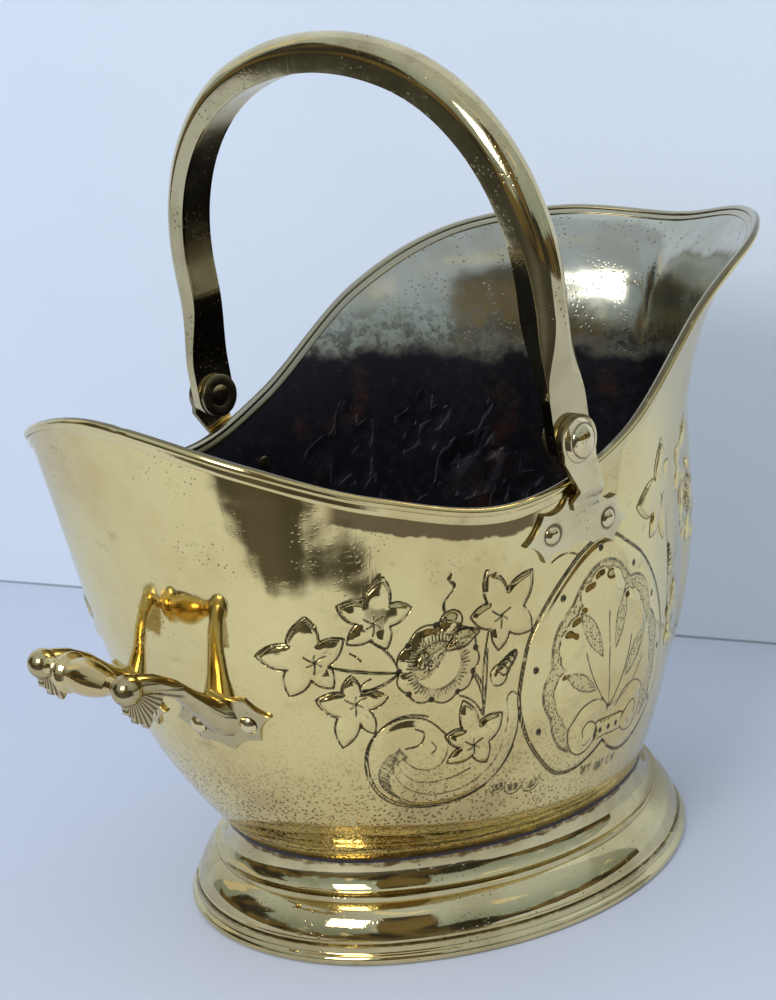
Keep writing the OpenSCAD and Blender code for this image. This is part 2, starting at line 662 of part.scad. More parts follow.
// As swept, with a channel of the rings in inner sunk into the face between the last two
// points of the rings in outer. Both have the same number of points to a ring, and the
// channel ends in a wall at either end of its row
function wall_strip(a, b, c, d) = [[a, c, b], [a, d, c]];
module swept_channel(outer, inner) {
    n = len(outer[0]);
    high = n - 2;
    low = n - 1;
    rows_out = len(outer);
    rows_in = len(inner);
    first = (rows_out - rows_in) / 2;
    final = first + rows_in - 1;
    function out_at(k, j) = k * n + j;
    function in_at(k, j) = (rows_out + k - first) * n + j;
    path = concat([high], [for (j = [high - 1:-1:0]) j], [low]);
    last = (rows_out - 1) * n;
    polyhedron(flat(concat(outer, inner)), concat(
        // round back and sides
        [for (k = [0:rows_out - 2], j = [0:n - 1]) if (j != high) let (i = (j + 1) % n)
            each wall_strip(out_at(k, j), out_at(k, i), out_at(k + 1, i), out_at(k + 1, j))],
        // flat face beyond the channel
        [for (k = [0:rows_out - 2]) if (k < first - 1 || k > final)
            each wall_strip(out_at(k, high), out_at(k, low), out_at(k + 1, low), out_at(k + 1, high))],
        [[out_at(first - 1, high), out_at(first, high), in_at(first, high)],
            [out_at(first - 1, high), in_at(first, high), in_at(first, low)],
            [out_at(first - 1, high), in_at(first, low), out_at(first, low)],
            [out_at(first - 1, high), out_at(first, low), out_at(first - 1, low)]],
        [[out_at(final + 1, high), out_at(final + 1, low), out_at(final, low)],
            [out_at(final + 1, high), out_at(final, low), in_at(final, low)],
            [out_at(final + 1, high), in_at(final, low), in_at(final, high)],
            [out_at(final + 1, high), in_at(final, high), out_at(final, high)]],
        // the two lips beside the channel, and the channel itself
        [for (k = [first:final - 1])
            each wall_strip(out_at(k, high), in_at(k, high), in_at(k + 1, high), out_at(k + 1, high))],
        [for (k = [first:final - 1])
            each wall_strip(in_at(k, low), out_at(k, low), out_at(k + 1, low), in_at(k + 1, low))],
        [for (k = [first:final - 1], q = [0:len(path) - 2]) let (j = path[q], i = path[q + 1])
            each wall_strip(in_at(k, j), in_at(k, i), in_at(k + 1, i), in_at(k + 1, j))],
        // ends of the channel and of the whole
        [for (j = [0:n - 3]) [in_at(first, low), in_at(first, j + 1), in_at(first, j)]],
        [for (j = [0:n - 3]) [in_at(final, low), in_at(final, j), in_at(final, j + 1)]],
        [for (j = [0:n - 3]) [low, j, j + 1]],
        [for (j = [0:n - 3]) [last + low, last + j + 1, last + j]]));
}
// Turns the upright plane so that its x runs sideways, y up and z forwards
module upright() {
    translate([pivot_x, 0, pivot_z]) rotate([0, -rest_tilt, 0]) rotate([90, 0, 90]) children();
}
// Flat end of a leg, round about the pivot
module paddle() {
    translate([paddle_in, 0, 0]) rotate([0, 90, 0]) cylinder(h = paddle_t, d = paddle_w, $fn = fine);
    translate([paddle_in, 0, -paddle_w / 2]) cube([paddle_t, paddle_rise, paddle_w]);
}
channel_r = bail_w / 2 - bail_t;
module bail_shell() {
    color(BRASS) difference() {
        upright() {
            swept_channel(
                both_legs(concat(
                    [for (p = half_path) across_path(p, half_round(bail_w / 2))],
                    [for (k = [1:taper_rings]) taper_ring(k / taper_rings)],
                    [paddle_root])),
                both_legs([for (p = half_path) across_path(p, half_round(channel_r))]));
            for (m = [0, 1]) mirror([m, 0, 0]) paddle();
        }
        both_sides() at_pivot(paddle_in - past / 6)
            cylinder(h = paddle_t + past / 3, r = pin_d / 2 + pin_clearance, $fn = fine);
    }
}
strip_outline = [
    [strip_sink + strip_t, -channel_r], [strip_sink + strip_t, channel_r],
    [strip_sink, channel_r], [strip_sink, -channel_r],
];
module bail_strip() {
    color(DARK_BRASS) upright() swept(both_legs([for (p = half_path) across_path(p, strip_outline)]));
}

// ---- rear handle ----
grip_x = -grip_back;
elbow_r = elbow_d / 2;
grip_half = arm_y - elbow_r + 0.8;

// Stations of an arm from its plate to the elbow:
// [share of the way back, share of the rise, half height, half width]
arm_stations = [
    [0.10, 0.10, 9.2, 9.8], [0.28, 0.40, 6.4, 6.8], [0.48, 0.74, 5, 5.6],
    [0.70, 0.95, 4.8, 5.2], [0.88, 1.02, 5.2, 5.4], [1, 1, 5.4, 5.6],
];
arm_sides = 16;
arm_root = [arm_y, arm_plate_z + 4];
arm_root_half = [11.5, 10.5];
// Point of the sheet on the right side above ground point y and height z, moved outwards by g
function on_rear(y, z, g) =
    let (st = find_wall([-y, z], 1, rear_guess))
    wall(st[0], st[1]) + g * wall_normal(st[0], st[1]);
arm_root_x = on_rear(arm_root.x, arm_root.y, 0).x;
function arm_foot_ring() = [for (i = [0:arm_sides - 1]) let (f = 360 * i / arm_sides)
    on_rear(arm_root.x + arm_root_half.x * cos(f), arm_root.y + arm_root_half.y * sin(f), arm_plate_t / 2)];
function arm_ring(a) =
    let (x = mix(arm_root_x, grip_x, a[0]), z = mix(arm_root.y, grip_z, a[1]))
    [for (i = [0:arm_sides - 1]) let (f = 360 * i / arm_sides)
        [x, -arm_y - a[3] * cos(f), z + a[2] * sin(f)]];
module arm_bar() {
    rings = concat([arm_foot_ring()], [for (a = arm_stations) arm_ring(a)]);
    n = arm_sides;
    last = (len(rings) - 1) * n;
    polyhedron(flat(rings), concat(
        ring_faces(len(rings), n, false, false),
        [for (j = [1:n - 2]) [0, j, j + 1]],
        [for (j = [1:n - 2]) [last, last + j + 1, last + j]]));
}
// Fluted shell that hangs from the elbow and curls back towards the body
module elbow_shell() {
    x0 = grip_x - elbow_r + 0.6;
    low = grip_z - shell_h;
    across(-arm_y - shell_t / 2, -arm_y + shell_t / 2) polygon(concat(
        bow([x0, grip_z], [x0 + 4.5, grip_z - 0.55 * shell_h], -1.2),
        bow([x0 + 4.5, grip_z - 0.55 * shell_h], [x0 + 8.5, grip_z - 0.8 * shell_h], -1),
        bow([x0 + 8.5, grip_z - 0.8 * shell_h], [x0 + 14, low], -1),
        bow([x0 + 14, low], [x0 + 17.5, grip_z - 0.7 * shell_h], 1),
        bow([x0 + 17.5, grip_z - 0.7 * shell_h], [x0 + 26, grip_z - 2], 2.2),
        [[x0 + 26, grip_z - 2], [x0 + 14, grip_z + 2]]));
}
arm_tip = [arm_plate_l / 2, 3];
arm_horn = [0.68 * arm_plate_l / 2, 12.5];
arm_heel = [0.60 * arm_plate_l / 2, -9];
arm_toe = [0, -13.5];
arm_crown = [0, 17.5];
arm_outline = concat(
    bow(flip(arm_horn), arm_crown, 1.6),
    bow(arm_crown, arm_horn, 1.6),
    bow(arm_horn, arm_tip, 1.4),
    bow(arm_tip, arm_heel, 1.8),
    bow(arm_heel, arm_toe, 1.8),
    bow(arm_toe, flip(arm_heel), 1.8),
    bow(flip(arm_heel), flip(arm_tip), 1.8),
    bow(flip(arm_tip), flip(arm_horn), 1.4));
module arm_plate() {
    intersection() {
        skin(-2, 12, floor(rows * 0.2), floor(rows * 0.8), arm_plate_t);
        along(-rear_reach, -rear_reach / 2)
            translate([-arm_y, arm_plate_z]) rotate(-arm_plate_slant) mirror([1, 0]) polygon(arm_outline);
    }
}
module rear_arm() {
    difference() {
        union() {
            arm_plate();
            arm_bar();
            elbow_shell();
            translate([grip_x, -arm_y, grip_z]) sphere(r = elbow_r, $fn = fine);
        }
        rivet_holes(arm_seats);
        translate([grip_x, -arm_y - rod_socket, grip_z]) rotate([-90, 0, 0])
            cylinder(h = arm_y, r = rod_d / 2 + rivet_clearance, $fn = fine);
        translate([grip_x, -grip_half, grip_z]) rotate([-90, 0, 0])
            cylinder(h = arm_y, d = elbow_d, $fn = fine);
    }
}
module rear_arm_left() { color(BRASS) left() rear_arm(); }
module rear_arm_right() { color(BRASS) rear_arm(); }

// Half outline of the grip from its left end: [radius, distance from the left end]
grip_l = 2 * grip_half;
grip_r = grip_d / 2;
end_r2 = grip_end_d / 2;
grip_line = concat(
    [[0, 0]],
    bow([end_r2, 0], [end_r2 - 0.4, 0.14 * grip_l], -0.6),
    bow([0.72 * grip_r, 0.19 * grip_l], [0.72 * grip_r, 0.23 * grip_l], 0.9, 8),
    bow([0.86 * grip_r, 0.25 * grip_l], [0.86 * grip_r, 0.38 * grip_l], 0.14 * grip_r, 10),
    bow([0.80 * grip_r, 0.40 * grip_l], [0.80 * grip_r, 0.43 * grip_l], 0.5, 6),
    bow([0.84 * grip_r, 0.44 * grip_l], [end_r2, 0.90 * grip_l], 1.6, 14),
    [[end_r2, 0.90 * grip_l], [end_r2 - 0.2, grip_l], [0, grip_l]]);
module rear_grip() {
    color(BRIGHT_BRASS) translate([grip_x, grip_half, grip_z]) rotate([90, 0, 0]) difference() {
        rotate_extrude($fn = fine) polygon(grip_line);
        translate([0, 0, -eps]) cylinder(h = grip_l + 2 * eps, r = rod_d / 2 + rivet_clearance, $fn = fine);
    }
}
module grip_rod() {
    color(DARK_BRASS) translate([grip_x, arm_y + rod_socket, grip_z]) rotate([90, 0, 0])
        cylinder(h = arm_pitch + 2 * rod_socket, d = rod_d, $fn = fine);
}

body_shell();
rim_edging();
bottom_plate();
foot_ring();
bail_shell();
bail_strip();
bail_bracket_left();
bail_bracket_right();
pivot_rivet_left();
pivot_rivet_right();
pivot_washer_left();
pivot_washer_right();
bracket_rivets_left();
bracket_rivets_right();
rear_arm_left();
rear_arm_right();
rear_grip();
grip_rod();
handle_rivets_left();
handle_rivets_right();
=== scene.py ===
import logging
import math
from collections.abc import Callable, Iterable, Iterator, Mapping
from contextlib import contextmanager
from dataclasses import dataclass, field
from enum import Enum
from typing import Any

import bpy
import numpy as np
from mathutils import Matrix, Vector
from mathutils.kdtree import KDTree


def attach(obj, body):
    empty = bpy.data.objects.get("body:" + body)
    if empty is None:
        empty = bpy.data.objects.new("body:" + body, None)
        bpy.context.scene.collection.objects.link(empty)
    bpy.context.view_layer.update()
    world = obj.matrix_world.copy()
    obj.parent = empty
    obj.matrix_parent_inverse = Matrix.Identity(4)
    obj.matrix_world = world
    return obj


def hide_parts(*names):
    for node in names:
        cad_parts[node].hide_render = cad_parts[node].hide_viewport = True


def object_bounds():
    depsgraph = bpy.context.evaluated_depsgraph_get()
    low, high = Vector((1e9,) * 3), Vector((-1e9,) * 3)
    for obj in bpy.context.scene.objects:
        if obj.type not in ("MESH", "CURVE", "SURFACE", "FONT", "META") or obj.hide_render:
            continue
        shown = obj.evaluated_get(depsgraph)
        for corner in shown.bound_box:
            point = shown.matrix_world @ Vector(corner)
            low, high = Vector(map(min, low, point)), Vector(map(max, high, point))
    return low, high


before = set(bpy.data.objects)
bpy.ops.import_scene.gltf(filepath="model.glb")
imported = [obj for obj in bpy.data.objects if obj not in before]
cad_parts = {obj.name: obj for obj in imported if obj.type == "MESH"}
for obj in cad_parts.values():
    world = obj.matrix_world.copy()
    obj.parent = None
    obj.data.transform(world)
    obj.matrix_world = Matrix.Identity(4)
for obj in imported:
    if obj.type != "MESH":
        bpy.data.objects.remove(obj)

LOG = logging.getLogger("scuttle")
MM = 0.001
CAD_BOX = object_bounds()

Array = np.ndarray
Place = Callable[[Array, Array], Array]
Spot = tuple[float, float]
Triple = tuple[float, float, float]
Colour = Triple

VERTICES = (True, False, False)
EDGES = (False, True, False)


# --------------------------------------------------------------------------- camera


@dataclass(frozen=True)
class PhotoCamera:
    """The camera as the photograph was taken, in millimetres and degrees."""

    focal_px: float = 1822.2
    frame_px: float = 776.0
    azimuth: float = -43.425
    elevation: float = 13.856
    roll: float = -4.489
    distance: float = 950.5
    target: Triple = (-22.7, 0.0, 202.5)
    sensor: float = 36.0
    clip: tuple[float, float] = (0.01, 50.0)

    def back(self) -> Vector:
        """Returns the direction from the target to the camera."""
        a, e = math.radians(self.azimuth), math.radians(self.elevation)
        return Vector((math.sin(a) * math.cos(e), -math.cos(a) * math.cos(e), math.sin(e)))

    def place(self) -> None:
        """Makes the camera and looks through it."""
        a, r = math.radians(self.azimuth), math.radians(self.roll)
        right = Vector((math.cos(a), math.sin(a), 0.0))
        back = self.back()
        up = back.cross(right)
        turned_right = right * math.cos(r) + up * math.sin(r)
        turned_up = up * math.cos(r) - right * math.sin(r)
        data = bpy.data.cameras.new("camera")
        data.sensor_fit = "HORIZONTAL"
        data.sensor_width = self.sensor
        data.lens = self.focal_px / self.frame_px * self.sensor
        data.clip_start, data.clip_end = self.clip
        eye = bpy.data.objects.new("camera", data)
        bpy.context.scene.collection.objects.link(eye)
        matrix = Matrix((turned_right, turned_up, back)).transposed().to_4x4()
        matrix.translation = (Vector(self.target) + back * self.distance) * MM
        eye.matrix_world = matrix
        bpy.context.scene.camera = eye


# --------------------------------------------------------------------------- mesh work


def select_none() -> None:
    """Leaves edit mode and deselects every object."""
    if bpy.context.mode != "OBJECT":
        bpy.ops.object.mode_set(mode="OBJECT")
    bpy.ops.object.select_all(action="DESELECT")


def select_only(obj: bpy.types.Object) -> None:
    """Makes obj the one selected and active object."""
    select_none()
    obj.select_set(True)
    bpy.context.view_layer.objects.active = obj


@contextmanager
def editing(obj: bpy.types.Object) -> Iterator[None]:
    """Opens the mesh of obj for editing, with all of it selected."""
    select_only(obj)
    bpy.ops.object.mode_set(mode="EDIT")
    bpy.ops.mesh.select_all(action="SELECT")
    yield
    bpy.ops.object.mode_set(mode="OBJECT")


@contextmanager
def open_edges(obj: bpy.types.Object) -> Iterator[None]:
    """Opens the mesh of obj for editing, with only its open edges selected."""
    with editing(obj):
        bpy.ops.mesh.select_all(action="DESELECT")
        bpy.context.tool_settings.mesh_select_mode = EDGES
        bpy.ops.mesh.select_non_manifold(extend=False)
        yield
        bpy.context.tool_settings.mesh_select_mode = VERTICES


def rename(obj: bpy.types.Object, name: str) -> bpy.types.Object:
    """Gives an object and its mesh a name, and returns the object."""
    obj.name = name
    obj.data.name = name
    return obj


def smooth_by(obj: bpy.types.Object, degrees: float) -> None:
    """Shades obj smooth, with edges sharper than degrees left sharp."""
    select_only(obj)
    bpy.ops.object.shade_smooth_by_angle(angle=math.radians(degrees))


def weld(obj: bpy.types.Object, reach: float = 0.00001) -> None:
    """Merges vertices of obj that are closer than reach, in metres."""
    with editing(obj):
        bpy.ops.mesh.remove_doubles(threshold=reach)


def face_outwards(obj: bpy.types.Object) -> None:
    """Turns the faces of a closed mesh outwards."""
    with editing(obj):
        bpy.ops.mesh.normals_make_consistent(inside=False)


def close_holes(obj: bpy.types.Object) -> None:
    """Fills every open edge loop of obj with a face."""
    with open_edges(obj):
        bpy.ops.mesh.fill_holes(sides=0)


def spread_grid(name: str, columns: int, rows: int, place: Place) -> bpy.types.Object:
    """Adds a grid and moves each of its points to where place puts it.

    Args:
        name: The new object's name.
        columns: Faces across.
        rows: Faces up.
        place: Takes shares across and up, from 0 to 1, and gives points in millimetres.

    Returns:
        The new object.
    """
    select_none()
    bpy.ops.mesh.primitive_grid_add(x_subdivisions=columns, y_subdivisions=rows, size=1.0)
    obj = rename(bpy.context.object, name)
    flat = np.empty(len(obj.data.vertices) * 3)
    obj.data.vertices.foreach_get("co", flat)
    flat = flat.reshape(-1, 3)
    across = np.clip(np.round((flat[:, 0] + 0.5) * columns) / columns, 0.0, 1.0)
    up = np.clip(np.round((flat[:, 1] + 0.5) * rows) / rows, 0.0, 1.0)
    obj.data.vertices.foreach_set("co", (place(across, up) * MM).ravel())
    obj.data.update()
    return obj


def step_of(share: Array, count: int) -> Array:
    """Returns which of count steps a share from 0 to 1 has come to."""
    return np.round(share * count).astype(int)


def point_values(obj: bpy.types.Object, name: str, values: Array) -> None:
    """Stores one number for each point of obj, for its material to read."""
    layer = obj.data.attributes.new(name, "FLOAT", "POINT")
    layer.data.foreach_set("value", values.astype(np.float32))


def mirrored_copy(obj: bpy.types.Object, name: str) -> bpy.types.Object:
    """Copies obj with a mesh of its own to the other side of the scuttle.

    Args:
        obj: The piece on the right side.
        name: The copy's name.

    Returns:
        The copy, with its faces turned outwards again.
    """
    twin = bpy.data.objects.new(name, obj.data.copy())
    twin.data.name = name
    bpy.context.scene.collection.objects.link(twin)
    twin.data.transform(Matrix.Scale(-1.0, 4, Vector((0.0, 1.0, 0.0))))
    twin.data.flip_normals()
    return twin


def dress(obj: bpy.types.Object, *materials: bpy.types.Material) -> None:
    """Gives obj its materials, in slot order, in place of what it had."""
    obj.data.materials.clear()
    for material in materials:
        obj.data.materials.append(material)


def fit_out(obj: bpy.types.Object, body: str, slot: str, *nodes: str) -> None:
    """Says what a piece rides on and the nodes it stands for."""
    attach(obj, body)
    if nodes:
        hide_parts(*nodes)
    LOG.info("%s: %d points, rides on %s", obj.name, len(obj.data.vertices), body)


# --------------------------------------------------------------------------- shader maths


class Wire:
    """A number that runs through a material, with Python's own operators."""

    def __init__(self, bench: "Bench", socket: bpy.types.NodeSocket) -> None:
        """Holds a socket of a material's node tree."""
        self.bench = bench
        self.socket = socket

    def maths(self, operation: str, *others: Any, first: Any = None) -> "Wire":
        """Returns this number put through a Math node.

        Args:
            operation: The Math node's operation.
            others: Its further values.
            first: A value that goes before this one, as in 1 - mask.
        """
        values = ([first, self] if first is not None else [self]) + list(others)
        return self.bench.add(
            "ShaderNodeMath", {"operation": operation}, dict(enumerate(values)))

    def __add__(self, other: Any) -> "Wire":
        """Returns this plus other."""
        return self.maths("ADD", other)

    __radd__ = __add__

    def __mul__(self, other: Any) -> "Wire":
        """Returns this times other."""
        return self.maths("MULTIPLY", other)

    __rmul__ = __mul__

    def __sub__(self, other: Any) -> "Wire":
        """Returns this minus other."""
        return self.maths("SUBTRACT", other)

    def __rsub__(self, other: Any) -> "Wire":
        """Returns other minus this."""
        return self.maths("SUBTRACT", first=other)

    def __truediv__(self, other: Any) -> "Wire":
        """Returns this divided by other."""
        return self.maths("DIVIDE", other)

    def __pow__(self, other: Any) -> "Wire":
        """Returns this to the power of other."""
        return self.maths("POWER", other)

    def least(self, other: Any) -> "Wire":
        """Returns the smaller of this and other."""
        return self.maths("MINIMUM", other)

    def most(self, other: Any) -> "Wire":
        """Returns the larger of this and other."""
        return self.maths("MAXIMUM", other)

    def rise(self, low: float, high: float) -> "Wire":
        """Returns 0 at low and 1 at high, with a smooth step between."""
        return self.bench.add(
            "ShaderNodeMapRange", {"interpolation_type": "SMOOTHSTEP"},
            {0: self, 1: low, 2: high, 3: 0.0, 4: 1.0})

    def fall(self, low: float, high: float) -> "Wire":
        """Returns 1 at low and 0 at high, with a smooth step between."""
        return 1.0 - self.rise(low, high)


class Bench:
    """The node tree of a material or world, and the methods that add to it."""

    def __init__(self, owner: bpy.types.Material | bpy.types.World) -> None:
        """Empties the owner's node tree."""
        self.owner = owner
        owner.use_nodes = True
        self.tree = owner.node_tree
        self.tree.nodes.clear()

    def add(
        self,
        kind: str,
        settings: Mapping[str, Any] | None = None,
        values: Mapping[int | str, Any] | None = None,
        out: int | str = 0,
    ) -> Wire:
        """Adds a node.

        Args:
            kind: The node's type.
            settings: Its settings, by name.
            values: A number, colour or Wire for each socket, by name or place.
            out: The output that is wanted.

        Returns:
            That output.
        """
        node = self.tree.nodes.new(kind)
        for key, value in (settings or {}).items():
            setattr(node, key, value)
        for key, value in (values or {}).items():
            if isinstance(value, Wire):
                self.tree.links.new(value.socket, node.inputs[key])
            else:
                wants = node.inputs[key]
                if wants.type == "RGBA" and len(value) == 3:
                    value = (*value, 1.0)
                wants.default_value = value
        return Wire(self, node.outputs[out])

    def blend(self, share: Any, first: Any, second: Any) -> Wire:
        """Returns a colour between two, at share of the way to the second."""
        return self.add(
            "ShaderNodeMix", {"data_type": "RGBA"}, {0: share, 6: first, 7: second}, 2)

    def here(self, stretch: Triple | None = None) -> Wire:
        """Returns Object coordinates, stretched if asked."""
        spot = self.add("ShaderNodeTexCoord", out="Object")
        if stretch is None:
            return spot
        return self.add("ShaderNodeMapping", {}, {"Vector": spot, "Scale": stretch})

    def axis(self, which: int) -> Wire:
        """Returns one Object coordinate, in metres."""
        return self.add("ShaderNodeSeparateXYZ", {}, {0: self.here()}, which)

    def from_line(self, x: float, z: float) -> tuple[Wire, Wire, Wire]:
        """Returns the offsets along X and Z, and the distance, from a line along Y."""
        dx, dz = self.axis(0) - x, self.axis(2) - z
        return dx, dz, (dx * dx + dz * dz) ** 0.5

    def noise(self, scale: float, detail: float = 2.0, rough: float = 0.5,
              stretch: Triple | None = None) -> Wire:
        """Returns soft noise, features about 1/scale metres wide."""
        return self.add(
            "ShaderNodeTexNoise", {},
            {"Vector": self.here(stretch), "Scale": scale, "Detail": detail, "Roughness": rough})

    def cells(self, scale: float) -> Wire:
        """Returns the distance to scattered points, about 1/scale metres apart."""
        return self.add("ShaderNodeTexVoronoi", {}, {"Vector": self.here(), "Scale": scale})

    def stored(self, name: str) -> Wire:
        """Returns a number stored on the piece's points."""
        return self.add("ShaderNodeAttribute", {"attribute_name": name}, out="Fac")

    def relief(self, height: Wire) -> Wire:
        """Returns a normal bent by a height in metres."""
        return self.add(
            "ShaderNodeBump", {}, {"Strength": 1.0, "Distance": 1.0, "Height": height})

    def finish(
        self, colour: Any, rough: Any, height: Wire, metal: Any = 1.0
    ) -> bpy.types.Material:
        """Joins everything to the surface.

        Args:
            colour: The base colour.
            rough: The roughness.
            height: The relief, in metres.
            metal: The metallic share.

        Returns:
            The finished material.
        """
        normal = self.relief(height)
        shader = self.add(
            "ShaderNodeBsdfPrincipled", {},
            {"Base Color": colour, "Roughness": rough, "Normal": normal, "Metallic": metal})
        self.close("ShaderNodeOutputMaterial", shader)
        return self.owner

    def close(self, kind: str, shader: Wire) -> None:
        """Joins a shader to the output of a material or world."""
        node = self.tree.nodes.new(kind)
        self.tree.links.new(shader.socket, node.inputs["Surface"])


Coat = tuple[Wire, Wire, Wire]


class Wear(Enum):
    """How a brass piece has aged: the share of its pits that show."""

    KEPT_BRIGHT = 0.30
    HANDLED = 0.55
    PITTED = 0.95


@dataclass(frozen=True)
class Brass:
    """Polished brass: its colours and how wavy, scratched and pitted it is."""

    name: str
    colour: Colour = (0.91, 0.73, 0.315)
    deep: Colour = (0.74, 0.53, 0.20)
    # Dirt in pits and smears; also the colour of painted contact shade round rivet heads and the
    # pivot dome's rim.
    dirt_and_shade: Colour = (0.09, 0.06, 0.03)
    rough: float = 0.10
    wave: float = 0.00030
    wave_scale: float = 26.0
    wear: Wear = Wear.KEPT_BRIGHT

    def base(self, bench: Bench) -> Coat:
        """Builds what all brass shares.

        Returns:
            The colour, the roughness and the relief's height.
        """
        broad = bench.noise(self.wave_scale, 2.0, 0.45)
        cloud = bench.noise(15.0, 4.0, 0.62)
        grain = bench.noise(300.0, 3.0, 0.6)
        smear = bench.noise(75.0, 4.0, 0.65, (1.0, 0.5, 1.6))
        colour = bench.blend(cloud.rise(0.40, 0.66) * 0.65, self.colour, self.deep)
        colour = bench.blend(smear.rise(0.58, 0.74) * 0.22, colour, self.dirt_and_shade)
        pits = (bench.cells(430.0).fall(0.08, 0.30) * bench.noise(38.0, 3.0).rise(0.50, 0.66)
                * self.wear.value)
        scratch = bench.noise(520.0, 1.0, 0.5, (1.0, 0.7, 0.05)).rise(0.60, 0.74)
        swirl = bench.noise(460.0, 1.0, 0.5, (0.06, 0.9, 1.0)).rise(0.62, 0.76)
        colour = bench.blend(pits * 0.8, colour, self.dirt_and_shade)
        lines = scratch + swirl
        rough = self.rough + smear.rise(0.45, 0.72) * 0.07 + pits * 0.35 + lines * 0.03
        height = broad * self.wave + grain * 0.000005 - pits * 0.00010 - lines * 0.000005
        return colour, rough, height

    def marks(self, bench: Bench, coat: Coat) -> Coat:
        """Adds to the coat what only this kind of piece shows: here nothing."""
        return coat

    def build(self) -> bpy.types.Material:
        """Returns the material."""
        bench = Bench(bpy.data.materials.new(self.name))
        return bench.finish(*self.marks(bench, self.base(bench)))


@dataclass(frozen=True)
class ChasedBrass(Brass):
    """The body's outside: cut lines and punched ground, pitted low at the rear."""

    deep_w: float = 0.52
    thin_w: float = 0.40
    ink: Colour = (0.030, 0.024, 0.016)
    stain: Colour = (0.46, 0.32, 0.14)
    # Colour of the painted dark reflection just below the edging.
    band: Colour = (0.13, 0.08, 0.032)
    speck: Colour = (0.12, 0.075, 0.03)
    joint: Colour = (0.13, 0.085, 0.03)
    tide: float = 0.0535

    def marks(self, bench: Bench, coat: Coat) -> Coat:
        """Adds the stored lines and ground, the pitting, and a painted dark reflection below the
        edging.
        """
        colour, rough, height = coat
        stroke = bench.noise(190.0, 2.0, 0.6)
        deep = bench.stored("line").fall(self.deep_w * 0.45, self.deep_w * 1.30)
        deep = deep * stroke.rise(0.18, 0.46)
        thin = bench.stored("thin").fall(self.thin_w * 0.40, self.thin_w * 1.75)
        thin = thin * stroke.rise(0.26, 0.56)
        ground = bench.stored("ground").rise(0.35, 0.65)
        dots = bench.cells(720.0).fall(0.20, 0.38) * ground
        x, z = bench.axis(0), bench.axis(2)
        low_rear = z.fall(0.070, 0.135) * x.fall(-0.090, 0.020)
        low = (low_rear + z.fall(0.050, 0.125) * 0.45).least(1.0)
        speckle = (bench.cells(500.0).fall(0.18, 0.46) * bench.noise(120.0, 2.0).rise(0.26, 0.46)
                   * low)
        freckle = (bench.cells(560.0).fall(0.08, 0.26) * bench.noise(45.0, 3.0).rise(0.42, 0.62)
                   * z.fall(0.10, 0.225))
        blush = bench.noise(20.0, 4.0, 0.6).rise(0.44, 0.68) * low
        seam = z.fall(0.0466, 0.0510) * bench.noise(60.0, 3.0).rise(0.30, 0.56)
        ragged = bench.noise(34.0, 5.0, 0.62)
        below = bench.stored("below") + (ragged - 0.5) * 0.013
        # Painted reflection: a dark band just below the edging on the near side's rear half.
        painted_rim_reflection = below.fall(0.0155, 0.0168) * x.rise(-0.158, -0.150) * x.fall(-0.050, -0.042)
        wavy = (z + (ragged - 0.5) * 0.012 - self.tide).maths("ABSOLUTE").fall(0.0003, 0.0012)
        wavy = wavy * x.fall(0.02, 0.06) * stroke.rise(0.2, 0.5)
        colour = bench.blend(blush * 0.45, colour, self.stain)
        colour = bench.blend(painted_rim_reflection * 0.9, colour, self.band)
        colour = bench.blend(wavy * 0.7, colour, self.ink)
        colour = bench.blend((speckle + freckle).least(1.0) * 0.75, colour, self.speck)
        colour = bench.blend(seam * 0.85, colour, self.joint)
        colour = bench.blend(ground * 0.25, colour, self.stain)
        colour = bench.blend(dots * 0.85, colour, self.ink)
        colour = bench.blend(thin * 0.85, colour, self.ink)
        colour = bench.blend(deep * 0.95, colour, self.ink)
        rough = rough + deep * 0.3 + dots * 0.25 + speckle * 0.25 + seam * 0.25 + ground * 0.06
        height = (height - deep * 0.00042 - thin * 0.00020 - dots * 0.00020 - speckle * 0.00010
                  + bench.noise(10.0, 1.0) * 0.0018)
        return colour, rough, height


